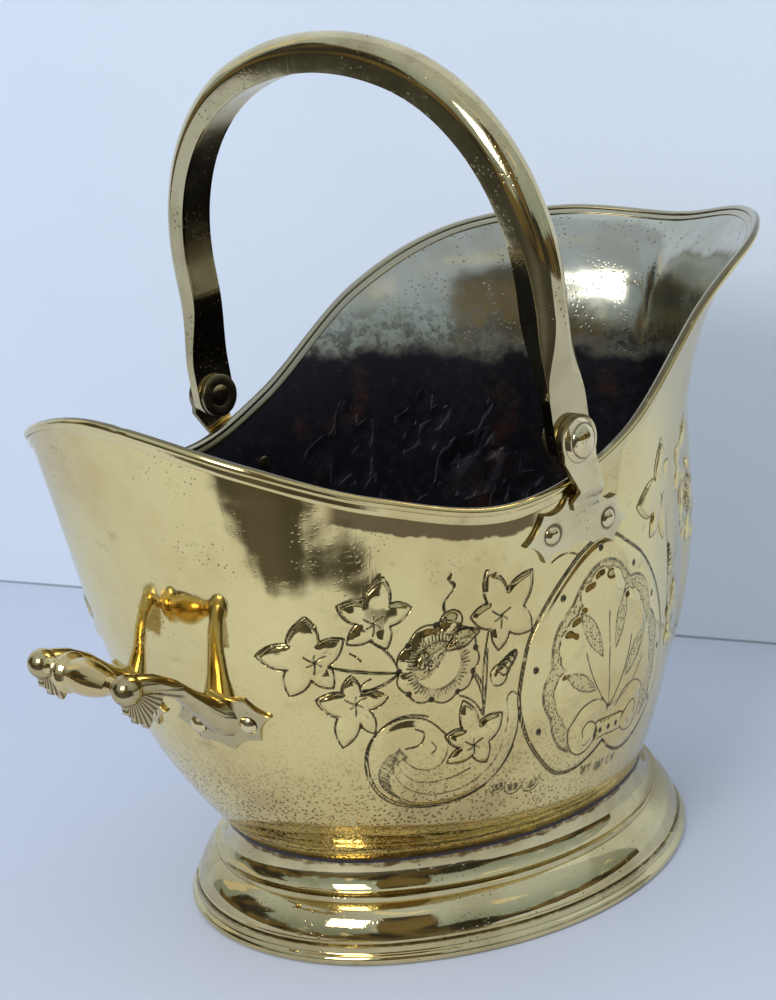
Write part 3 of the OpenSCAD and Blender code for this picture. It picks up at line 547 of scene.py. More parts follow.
@dataclass(frozen=True)
class TarnishedBrass:
    """The body's inside: soot-dark below a ragged edge, worn metal above it."""

    name: str
    soot: Colour = (0.012, 0.012, 0.017)
    rust: Colour = (0.070, 0.026, 0.016)
    metal: Colour = (0.57, 0.56, 0.45)
    worn: Colour = (0.42, 0.39, 0.28)
    dust: Colour = (0.075, 0.075, 0.095)
    # Bluish grey of the painted highlight on the relief's ridges in the soot-dark part.
    raised: Colour = (0.085, 0.085, 0.11)
    pit: Colour = (0.12, 0.06, 0.025)
    grime: Colour = (0.10, 0.085, 0.075)
    edge_height: float = 0.263
    edge_slope: float = 0.085

    def build(self) -> bpy.types.Material:
        """Returns the material."""
        bench = Bench(bpy.data.materials.new(self.name))
        x, z = bench.axis(0), bench.axis(2)
        ragged = bench.noise(22.0, 6.0, 0.66)
        edge = z + x * self.edge_slope + (ragged - 0.5) * 0.040
        bright = edge.rise(self.edge_height - 0.006, self.edge_height + 0.010)
        patch = bench.noise(17.0, 5.0, 0.68).rise(0.53, 0.66)
        fine = bench.noise(170.0, 4.0, 0.7)
        dark = bench.blend(patch * 0.7, self.soot, self.rust)
        dark = bench.blend(fine.rise(0.60, 0.74) * 0.40, dark, self.dust)
        # Painted highlight: the relief's ridges show bluish grey in the soot-dark part.
        ridge = bench.stored("line").fall(0.3, 1.6)
        dark = bench.blend(ridge * 0.35, dark, self.raised)
        cloud = bench.noise(24.0, 4.0, 0.6)
        shine = bench.blend(cloud.rise(0.38, 0.66) * 0.6, self.metal, self.worn)
        pits = bench.cells(360.0).fall(0.10, 0.34) * bench.noise(52.0, 3.0).rise(0.46, 0.60)
        pits = pits.least(1.0)
        lip = z.rise(0.285, 0.315) * x.rise(0.03, 0.10)
        rusty = pits * (lip * 0.5 + 0.5)
        shine = bench.blend(rusty * 0.85, shine, self.pit)
        grime = edge.fall(self.edge_height + 0.006, self.edge_height + 0.038)
        grime = grime * fine.rise(0.42, 0.62)
        shine = bench.blend(grime * 0.7, shine, self.grime)
        colour = bench.blend(bright, dark, shine)
        rough = 0.36 - bright * 0.25 + pits * 0.2 + fine * 0.10 + grime * 0.15
        height = (bench.noise(26.0, 2.0) * 0.0009 + fine * 0.00010 * (1.0 - bright)
                  + bench.noise(11.0, 1.0) * 0.0010 - pits * 0.00008 + ridge * 0.0004)
        return bench.finish(colour, rough, height, 0.6 + bright * 0.4)


@dataclass(frozen=True)
class EdgingBrass(Brass):
    """The edging: bright outside, dull towards the inside, with grime on its crown."""

    inside: Colour = (0.46, 0.42, 0.30)

    def marks(self, bench: Bench, coat: Coat) -> Coat:
        """Reads how far round to the inside each point is, and dulls it there."""
        colour, rough, height = coat
        inward = bench.stored("inward")
        dull = inward.rise(0.45, 0.60)
        crown = (inward.rise(0.34, 0.44) * inward.fall(0.60, 0.72)
                 * bench.noise(60.0, 3.0).rise(0.25, 0.45))
        colour = bench.blend(dull * 0.9, colour, self.inside)
        colour = bench.blend(crown * 0.8, colour, self.dirt_and_shade)
        return colour, rough + dull * 0.10, height


@dataclass(frozen=True)
class HatchedBrass(Brass):
    """Cast brass with fine file strokes that fan out below the elbow.

    The hub is where they meet, along X and Z, in metres.
    """

    hub: Spot = (-0.2205, 0.165)
    strokes: float = 46.0

    def marks(self, bench: Bench, coat: Coat) -> Coat:
        """Adds the strokes."""
        colour, rough, height = coat
        dx, dz, reach = bench.from_line(*self.hub)
        turn = dz.maths("ARCTAN2", dx)
        cut = ((turn * self.strokes).maths("SINE").rise(0.1, 0.9) * dz.fall(-0.006, -0.002)
               * reach.fall(0.026, 0.030) * reach.rise(0.006, 0.008))
        colour = bench.blend(cut * 0.75, colour, self.dirt_and_shade)
        return colour, rough + cut * 0.15, height - cut * 0.00030


@dataclass(frozen=True)
class RingedBrass(Brass):
    """The pivot's domed head with a turned groove, and dirt with painted contact shade round its
    rim, in metres.
    """

    axis_at: Spot = (-0.028, 0.24905)
    groove: float = 0.0082
    rim: float = 0.0101
    groove_w: float = 0.0007

    def marks(self, bench: Bench, coat: Coat) -> Coat:
        """Adds the groove, and dirt with painted contact shade round the rim."""
        colour, rough, height = coat
        reach = bench.from_line(*self.axis_at)[2]
        turned = (reach.rise(self.groove - self.groove_w, self.groove)
                  * reach.fall(self.groove, self.groove + self.groove_w))
        # Painted contact shade, with dirt, where the dome's rim meets the washer.
        edge = reach.rise(self.rim, self.rim + 0.0008)
        colour = bench.blend(turned * 0.75, colour, self.dirt_and_shade)
        colour = bench.blend(edge * 0.8, colour, self.dirt_and_shade)
        return colour, rough + edge * 0.2, height - turned * 0.0004


@dataclass(frozen=True)
class PlateBrass(Brass):
    """A riveted plate, with dirt and painted contact shade round its rivets.

    Seats are the rivets' places along X and Z, in metres.
    """

    seats: tuple[Spot, ...] = ()
    head_r: float = 0.0045

    def marks(self, bench: Bench, coat: Coat) -> Coat:
        """Adds a ring of dirt and painted contact shade round each rivet's head."""
        colour, rough, height = coat
        for seat in self.seats:
            # Painted contact shade with dirt round each rivet's head.
            ring = bench.from_line(*seat)[2].fall(self.head_r + 0.0004, self.head_r + 0.0020)
            colour = bench.blend(ring * 0.85, colour, self.dirt_and_shade)
            rough = rough + ring * 0.2
        return colour, rough, height


@dataclass(frozen=True)
class SolderedBrass(Brass):
    """The foot, with a wavy brown line of solder and grime where it meets the body."""

    neck: float = 0.0437
    crease: float = 0.0096
    solder: Colour = (0.16, 0.095, 0.035)
    rust: Colour = (0.13, 0.05, 0.02)

    def marks(self, bench: Bench, coat: Coat) -> Coat:
        """Adds the solder at the neck, the nicks and the dirt in the lower crease."""
        colour, rough, height = coat
        z = bench.axis(2)
        wander = bench.noise(46.0, 4.0, 0.65)
        level = z + (wander - 0.5) * 0.008
        solder = level.rise(self.neck - 0.0018, self.neck - 0.0006)
        fine = bench.noise(150.0, 4.0, 0.7)
        nicks = bench.cells(240.0).fall(0.05, 0.16) * bench.noise(30.0, 2.0).rise(0.52, 0.62)
        creases = (z - self.crease).maths("ABSOLUTE").fall(0.0003, 0.0011) * fine.rise(0.30, 0.55)
        colour = bench.blend(solder * fine.rise(0.25, 0.6), colour, self.solder)
        colour = bench.blend(nicks * 0.8, colour, self.rust)
        colour = bench.blend(creases * 0.7, colour, self.dirt_and_shade)
        rough = rough + solder * 0.25 + nicks * 0.2 + creases * 0.2
        height = (height + solder * 0.0003 * wander - nicks * 0.00015
                  + bench.noise(9.0, 1.0) * 0.0009)
        return colour, rough, height


# --------------------------------------------------------------------------- the wall's shape


def spline(spots: Iterable[Array], u: Array) -> Array:
    """Returns the smooth curve between the middle two of four spots, at shares u."""
    a, b, c, d = spots
    return 0.5 * (2 * b + (c - a) * u + (2 * a - 5 * b + 4 * c - d) * u * u
                  + (3 * b - a - 3 * c + d) * u ** 3)


def smooth_loop(values: Array, s: Array) -> Array:
    """Reads a smooth closed curve through values at s, which runs from 0 to 2."""
    n = len(values)
    q = (s % 2.0) / 2.0 * n
    i = np.floor(q).astype(int)
    return spline((values[(i + k) % n] for k in (-1, 0, 1, 2)), q - i)


def both_ways(half: Iterable[float], sign: float = 1.0) -> Array:
    """Carries values from rear to lip back round the other side."""
    values = np.array(list(half))
    return np.concatenate([values, sign * values[-2:0:-1]])


def unit(v: Array) -> Array:
    """Returns vectors of length one."""
    return v / np.maximum(np.linalg.norm(v, axis=-1, keepdims=True), 1e-9)


def run_along(points: Array) -> Array:
    """Returns the length of a line up to each of its points."""
    return np.concatenate([[0.0], np.cumsum(np.linalg.norm(np.diff(points, axis=0), axis=1))])


def even_points(points: Array, count: int) -> Array:
    """Returns count points at even steps along a flat line, both ends included."""
    run = run_along(points)
    places = np.linspace(0.0, run[-1], count)
    return np.stack([np.interp(places, run, points[:, k]) for k in (0, 1)], -1)


@dataclass(frozen=True)
class NeckOval:
    """The oval that every moulding of the foot follows: four tangent arcs."""

    length: float = 252.0
    width: float = 201.0
    height: float = 45.5
    end_share: float = 0.835

    @property
    def end_r(self) -> float:
        """Radius of the end arcs."""
        return self.end_share * self.width / 2

    @property
    def side_r(self) -> float:
        """Radius of the side arcs."""
        a, b = self.length / 2, self.width / 2
        return (a * a + b * b - 2 * a * self.end_r) / (2 * (b - self.end_r))

    def point(self, f: Array, grow: Array | float = 0.0) -> Array:
        """Returns points whose outward normal points along f, in radians, grown outwards."""
        end_c = self.length / 2 - self.end_r
        side_c = self.side_r - self.width / 2
        join = math.atan2(side_c, end_c)
        c, s = np.cos(f), np.sin(f)
        ends = np.abs(s) * math.cos(join) <= np.abs(c) * math.sin(join)
        x = np.where(ends, np.sign(c) * end_c + (self.end_r + grow) * c, (self.side_r + grow) * c)
        y = np.where(ends, (self.end_r + grow) * s, (self.side_r + grow) * s - np.sign(s) * side_c)
        return np.stack([x, y], -1)


@dataclass(frozen=True)
class HelmetWall:
    """The body's outer surface: s runs round from the rear, t from neck to mouth."""

    oval: NeckOval = NeckOval()
    rear_reach: float = 205.0
    lip_reach: float = 237.5
    mouth_w: float = 267.0
    rear_h: float = 281.0
    dip_h: float = 225.0
    cheek_h: float = 328.0
    lip_h: float = 321.0
    sheet_t: float = 1.2
    bead_r: float = 2.4
    flange_d: float = 6.0
    flange_t: float = 0.8

    def edge(self, s: Array) -> Array:
        """Returns points of the mouth's edge."""
        rear, lip, half = self.rear_reach, self.lip_reach, self.mouth_w / 2
        dip, cheek = self.dip_h, self.cheek_h
        x = both_ways([-rear, -0.898 * rear, -0.649 * rear, -0.293 * rear,
                       0.038 * lip, 0.345 * lip, 0.639 * lip, 0.882 * lip, lip])
        y = -half * both_ways([0, 0.607, 0.831, 0.929, 1, 0.963, 0.846, 0.502, 0], -1.0)
        z = both_ways([self.rear_h, dip + (self.rear_h - dip) * 0.70,
                       dip + (self.rear_h - dip) * 0.30, dip, dip + (cheek - dip) * 0.194,
                       dip + (cheek - dip) * 0.684, dip + (cheek - dip) * 0.942, cheek, self.lip_h])
        return np.stack([smooth_loop(v, s) for v in (x, y, z)], -1)

    def handles(self, s: Array) -> tuple[Array, Array, Array, Array]:
        """Returns the four points that draw each station's curve, from neck to edge."""
        foot_pull = smooth_loop(both_ways([0.39, 0.38, 0.35, 0.39, 0.505]), s)[:, None]
        foot_steep = np.radians(smooth_loop(both_ways([50, 50, 58, 64, 29.0]), s))[:, None]
        edge_pull = smooth_loop(both_ways([0.38, 0.35, 0.30, 0.33, 0.34]), s)[:, None]
        edge_steep = np.radians(smooth_loop(both_ways([76, 75, 72, 43, 27.0]), s))[:, None]
        turn = np.pi * (1.0 - s)
        f = np.arctan2(-self.oval.length / 2 * np.sin(turn), self.oval.width / 2 * np.cos(turn))
        low = np.column_stack([self.oval.point(f), np.full(len(s), self.oval.height)])
        high = self.edge(s)
        along = self.edge(s + 0.001) - self.edge(s - 0.001)
        out = unit(np.stack([along[:, 1], -along[:, 0], np.zeros(len(s))], -1))
        foot_out = np.stack([np.cos(f), np.sin(f), np.zeros(len(s))], -1)
        up = np.array([0.0, 0.0, 1.0])
        reach = np.linalg.norm(high - low, axis=1, keepdims=True)
        h1 = low + (foot_out * np.cos(foot_steep) + up * np.sin(foot_steep)) * foot_pull * reach
        h2 = high - (out * np.cos(edge_steep) + up * np.sin(edge_steep)) * edge_pull * reach
        return low, h1, h2, high

    def point(self, s: Array, t: Array) -> Array:
        """Returns points of the wall."""
        low, h1, h2, high = self.handles(s)
        t = t[:, None]
        w = 1.0 - t
        return low * w ** 3 + h1 * 3 * w * w * t + h2 * 3 * w * t * t + high * t ** 3

    def normal(self, s: Array, t: Array) -> Array:
        """Returns outward normals of the wall."""
        step = 0.001
        du = self.point(s + step, t) - self.point(s - step, t)
        dv = self.point(s, t + step) - self.point(s, t - step)
        return unit(np.cross(du, dv))

    def share_below(self, s: Array, depth: float) -> Array:
        """Returns t at a depth below the mouth's edge."""
        _, _, h2, high = self.handles(s)
        return 1.0 - depth / (3.0 * np.linalg.norm(high - h2, axis=1))


# --------------------------------------------------------------------------- chasing


@dataclass
class Drawing:
    """Cut lines, raised fields and punched grounds, in millimetres along and up the wall."""

    heavy: list[Array] = field(default_factory=list)
    fine: list[Array] = field(default_factory=list)
    fields: list[tuple[Array, float, float]] = field(default_factory=list)
    grounds: list[Array] = field(default_factory=list)

    def cut(self, points: Array, deep: bool = False) -> None:
        """Adds a line, thin or deep."""
        (self.heavy if deep else self.fine).append(points)

    def raise_field(self, points: Array, height: float, soft: float) -> None:
        """Raises what lies inside a closed outline over a soft shoulder."""
        self.fields.append((points, height, soft))

    def punch(self, centre: Spot, radius: float) -> None:
        """Punches a round dot, filled with close rings."""
        for share in (1.0, 0.5, 0.1):
            self.cut(circle(centre, radius * share, radius * share), True)


def circle(centre: Spot, a: float, b: float, start: float = 0.0, sweep: float = 360.0) -> Array:
    """Returns points of an oval or of a part of one.

    Args:
        centre: Its middle.
        a: Half its length.
        b: Half its height.
        start: Angle at which it starts, in degrees.
        sweep: Angle that it covers, in degrees.
    """
    f = np.radians(np.linspace(start, start + sweep, 120))
    return np.stack([centre[0] + a * np.cos(f), centre[1] + b * np.sin(f)], -1)


def bowed(p: Iterable[float], q: Iterable[float], sag: float, lean: float = 0.5) -> Array:
    """Returns points from p to q on a curve that bows to the left.

    Args:
        p: First end.
        q: Second end.
        sag: How far it bows out.
        lean: Where it bows out most, as a share of the way.
    """
    a, b = np.array(tuple(p), float), np.array(tuple(q), float)
    d = b - a
    side = np.array([-d[1], d[0]]) / max(float(np.hypot(*d)), 1e-6)
    middle = a + d * lean + side * sag * 2
    u = np.linspace(0, 1, 32)[:, None]
    return a * (1 - u) ** 2 + middle * 2 * u * (1 - u) + b * u * u


def through(spots: Iterable[Spot], closed: bool = False) -> Array:
    """Returns points of a smooth curve through a few spots."""
    p = np.array(tuple(spots), float)
    n = len(p)
    ends = (np.vstack([p[-1:], p, p[:2]]) if closed
            else np.vstack([2 * p[:1] - p[1:2], p, 2 * p[-1:] - p[-2:-1]]))
    pieces = []
    u = np.linspace(0, 1, 14, endpoint=False)[:, None]
    for k in range(n if closed else n - 1):
        pieces.append(spline(ends[k:k + 4], u))
    pieces.append(p[:1] if closed else p[-1:])
    return np.vstack(pieces)


def arched(spots: Iterable[Spot], rise: float) -> Array:
    """Returns a closed or open line of arches that spring from spot to spot."""
    corner = list(spots)
    return np.vstack([bowed(p, q, rise * math.dist(p, q)) for p, q in zip(corner, corner[1:])])


@dataclass(frozen=True)
class IvyLeaf:
    """A leaf with pointed, domed lobes and a star of veins.

    Each lobe is the angle and reach of its tip, then those of the notch after it,
    taken clockwise from the middle.
    """

    centre: Spot
    lobes: tuple[tuple[float, float, float, float], ...]
    plump: float = 0.26

    def spot(self, angle: float, reach: float) -> Array:
        """Returns a point at an angle and reach from the middle."""
        a = math.radians(angle)
        return np.array(self.centre) + reach * np.array([math.cos(a), math.sin(a)])

    def draw(self, sheet: Drawing) -> None:
        """Draws the outline, a second line inside it, the domes and the veins."""
        rim: list[Array] = []
        root = self.spot(*self.lobes[-1][2:])
        for angle, reach, *dent in self.lobes:
            tip, notch = self.spot(angle, reach), self.spot(*dent)
            up = bowed(root, tip, self.plump * 0.5 * math.dist(root, tip), 0.42)
            down = bowed(tip, notch, self.plump * 0.5 * math.dist(tip, notch), 0.58)
            rim += [up[:-1], down[:-1]]
            dome = self.spot(angle, reach * 0.62)
            size = reach * 0.30
            sheet.raise_field(circle(tuple(dome), size, size), 0.5, size)
            root = notch
        outline = np.vstack([*rim, rim[0][:1]])
        sheet.cut(outline, True)
        middle = np.array(self.centre)
        sheet.cut((middle + (outline - middle) * 0.91)[::2][:60])
        sheet.raise_field(outline, 0.9, 2.6)
        for k in range(6):
            vein = self.spot(60 * k + 22, 6.0 - 2.0 * (k % 2))
            sheet.cut(bowed(self.centre, vein, 0.3), k % 2 == 0)


@dataclass(frozen=True)
class OpenFlower:
    """A flower of round scallops with knots between, a fringed ring and a rough heart."""

    centre: Spot
    knots: tuple[Spot, ...]
    ring: float = 12.6
    fringe: float = 5.0
    threads: int = 50

    def draw(self, sheet: Drawing) -> None:
        """Draws the flower."""
        x, y = self.centre
        rim = arched([*self.knots, self.knots[0]], -0.24)
        sheet.cut(rim, True)
        sheet.raise_field(rim, 1.5, 6.0)
        for knot in self.knots:
            sheet.punch(knot, 1.1)
        sheet.cut(circle(self.centre, self.ring, self.ring * 0.92))
        for k in range(self.threads):
            a = 2 * math.pi * k / self.threads
            near = np.array([x + self.ring * math.cos(a), y + self.ring * 0.92 * math.sin(a)])
            length = self.fringe * (0.75 + 0.25 * (k % 3 == 0))
            far = near + length * np.array([math.cos(a + 0.2), math.sin(a + 0.2)])
            sheet.cut(bowed(near, far, 0.3))
        heart = through([(x - 14, y + 1), (x - 12, y + 8), (x - 4, y + 11), (x + 5, y + 12),
                         (x + 5, y + 5), (x - 2, y - 2), (x - 9, y - 5)], True)
        sheet.raise_field(heart, 2.2, 4.0)
        sheet.grounds.append(heart)
        for k in range(9):
            a = 2.4 * k
            r = 1.1 * math.sqrt(k) * 2.0
            spot = (x - 5 + r * math.cos(a), y + 3.5 + r * 0.8 * math.sin(a))
            sheet.cut(circle(spot, 1.5, 1.2, start=40 * k, sweep=250), k % 2 == 0)
        leaf = through([(x + 5, y + 7), (x + 14, y + 13), (x + 25, y + 9), (x + 17, y + 5),
                        (x + 9, y + 5)], True)
        sheet.cut(leaf, True)
        sheet.raise_field(leaf, 1.8, 2.5)
        sheet.grounds.append(leaf)
        ball = (x + 10, y + 18)
        sheet.cut(circle(ball, 6.3, 5.6), True)
        sheet.cut(circle((ball[0], ball[1] - 1.5), 4.2, 2.6, start=190, sweep=160))
        sheet.raise_field(circle(ball, 6.0, 5.4), 2.0, 5.0)
        curl = through([(x + 7, y + 23), (x + 7, y + 28), (x + 13, y + 34), (x + 10, y + 39),
                        (x + 12, y + 41)])
        sheet.cut(curl, True)
        sheet.cut(curl + 0.7, True)


@dataclass(frozen=True)
class Cartouche:
    """A shield of dots and a punched, lobed band round a palmette on two volutes."""

    border: tuple[Spot, ...] = (
        (-2, 47), (-11, 42), (-22, 38), (-34, 37.5), (-44, 41), (-54, 51), (-62, 63), (-66, 75),
        (-67, 88), (-63, 103), (-58, 115), (-48, 128), (-37, 139), (-24, 149), (-12, 153.5),
        (0, 152.5), (12, 146), (31, 136), (50, 122), (64, 108), (74, 92), (78, 76), (74, 60),
        (64, 48), (50, 40), (36, 36), (22, 35.5), (8, 40), (-2, 47))
    dots: tuple[Spot, ...] = ((-12, 149), (-38, 130), (-57, 99), (-57, 67), (19, 134), (48, 112),
                              (67, 80), (60, 54))
    arches: tuple[Spot, ...] = ((-32, 49), (-48, 71), (-46, 97), (-32, 124), (15, 128), (44, 105),
                                (60, 76), (44, 49))
    tops: tuple[float, ...] = (0.17, 0.22, 0.15, 0.33, 0.20, 0.20, 0.20)
    scallops: tuple[Spot, ...] = (
        (-36, 62), (-40, 69), (-45, 78), (-44, 89), (-37, 93), (-41, 101), (-41, 108), (-36, 114),
        (-29, 119), (-25, 123), (-26, 130), (-19, 134), (-12, 139), (-6, 137), (1, 136), (7, 130),
        (10, 122), (18, 121), (24, 119), (30, 113), (35, 106), (40, 99), (46, 92), (49, 82),
        (48, 71), (42, 62))
    lenses: tuple[tuple[Spot, Spot], ...] = (
        ((-38, 91), (-16, 78)), ((-27, 120), (-11, 94)), ((9, 123), (0, 96)), ((35, 100), (10, 78)))
    middle: Spot = (0.0, 94.0)
    root: Spot = (-3.5, 66.0)

    def draw(self, sheet: Drawing) -> None:
        """Draws the whole shield."""
        rim = through(self.border)
        middle = np.array(self.middle)
        sheet.cut(rim, True)
        sheet.cut(middle + (rim - middle) * 1.022, True)
        sheet.raise_field(rim, 0.9, 4.5)
        for spot in self.dots:
            sheet.punch(spot, 1.4)
        band = np.vstack([bowed(p, q, rise * math.dist(p, q)) for p, q, rise in
                          zip(self.arches, self.arches[1:], self.tops)])
        sheet.cut(band)
        sheet.cut(middle + (band - middle) * 1.018)
        inner = arched(self.scallops, 0.16)
        sheet.cut(inner)
        sheet.grounds.append(np.vstack([band, inner[::-1]]))
        panel = np.vstack([inner, inner[:1]])
        sheet.raise_field(panel, 1.1, 5.0)
        for spot, size in (((-3, 127), 8.5), ((27, 104), 8.0), ((-31, 105), 6.5), ((-34, 80), 6.0)):
            sheet.raise_field(circle(spot, size, size * 1.2), 1.2, size)
        for end, sag in (((-24, 99), 3.0), ((-6, 116), 0.4), ((17, 99), -3.0), ((34, 84), -4.0)):
            sheet.cut(bowed(self.root, end, sag), abs(sag) < 3.5)
        for foot, tip in self.lenses:
            side = 0.12 * math.dist(foot, tip) + 0.8
            lens = np.vstack([bowed(foot, tip, side, 0.42), bowed(tip, foot, side, 0.58)])
            sheet.cut(lens)
            sheet.grounds.append(lens)
        self.volute(-1.0, sheet)
        self.volute(1.0, sheet)
        bar = [(-14, 60), (14, 58.5), (15, 49), (-13, 50), (-14, 60)]
        for p, q in zip(bar, bar[1:]):
            sheet.cut(bowed(p, q, 0.0), True)
        sheet.raise_field(np.array(bar, float), 0.9, 2.0)
        for spot in ((-9, 54.6), (-1, 54.4), (7, 54.2)):
            sheet.punch(spot, 1.2)

    def volute(self, side: float, sheet: Drawing) -> None:
        """Draws the rolled scroll on one side of the palmette's foot."""
        out = 1.0 if side < 0 else 1.15
        spots = [(-3.6, 64), (-8, 70), (-16, 73), (-26, 71.5), (-33, 66), (-36, 58), (-33, 50),
                 (-27, 45.5), (-20, 45.5), (-14, 49), (-12, 54), (-15, 60), (-21, 62.5),
                 (-25.5, 59.5), (-25, 55)]
        curve = through([(x if side < 0 else -x * out, y) for x, y in spots])
        sheet.cut(curve, True)
        eye = ((18.0, 53.0), (21.0, 49.5), (24.0, 50.5))
        sheet.cut(through([(side * x * out, y) for x, y in eye]))
        roll = circle((side * 22.0 * out, 59.0), 12.5 * out, 12.5)
        sheet.raise_field(roll, 1.3, 7.0)


@dataclass(frozen=True)
class Scroll:
    """The large C-scroll: a double back, a hatched crescent, a spiral and husks."""

    back: tuple[Spot, ...] = (
        (-112, 82), (-119, 91), (-126, 95.5), (-135, 97), (-144, 94), (-151, 87), (-154.5, 77),
        (-154, 65), (-149, 53.5), (-140, 45.5), (-126, 41.5), (-108, 42), (-91, 47.5), (-79, 57),
        (-71, 70), (-68, 83))
    crescent: tuple[Spot, ...] = (
        (-137, 81), (-141, 74), (-140, 64), (-134, 55.5), (-124, 50.5), (-108, 50), (-94, 55),
        (-84, 63), (-78, 75))
    hook: tuple[Spot, ...] = ((-78, 74), (-75.5, 82), (-75, 90), (-71.5, 92.5), (-68, 89.5))
    spiral: tuple[Spot, ...] = ((-137, 82), (-135, 74), (-129, 67.5), (-120, 66.5), (-114, 72),
                                (-112, 80))
    fold: tuple[Spot, ...] = ((-139, 74), (-136, 66), (-129, 59.5), (-115, 58), (-101, 60.5))
    curl: tuple[Spot, ...] = ((-128, 90.5), (-124, 87), (-127, 81.5), (-134, 81))
    nick: tuple[Spot, ...] = ((-121, 81.5), (-119, 77.5), (-122, 74.5))
    husks: tuple[Triple, ...] = (
        (-84, 43.5, 5.4), (-73, 40.5, 6.0), (-60, 38.5, 6.0), (-14, 34, 5.0), (0, 32.5, 5.0),
        (14, 32, 5.0))

    def draw(self, sheet: Drawing) -> None:
        """Draws the scroll and its husks, each given by its place and size."""
        back = through(self.back)
        sheet.cut(back, True)
        sheet.cut(back[20:190] + np.array([1.5, 1.2]), True)
        sheet.raise_field(np.vstack([back, back[:1]]), 1.0, 6.0)
        inner = through(self.crescent)
        sheet.cut(inner)
        edge = through([(-137, 81), (-144, 77.5), (-148.5, 69), (-147, 59), (-140, 51)])
        sheet.cut(edge)
        for k in range(22):
            u = k / 21
            a = edge[int(u * (len(edge) - 1))]
            sheet.cut(bowed(a, a + np.array([3.2 + 2.6 * u, -5.4 + 1.2 * u]), 0.3))
        sheet.cut(through(self.curl), True)
        for spots in (self.spiral, self.fold, self.nick, self.hook):
            sheet.cut(through(spots))
        for x, y, size in self.husks:
            sheet.cut(circle((x, y), size, size * 0.85, start=150, sweep=240))
            for j in range(-3, 4):
                sheet.cut(bowed((x + j * 1.3, y + 1.0), (x + j * 0.9, y - 2.6), 0.2))


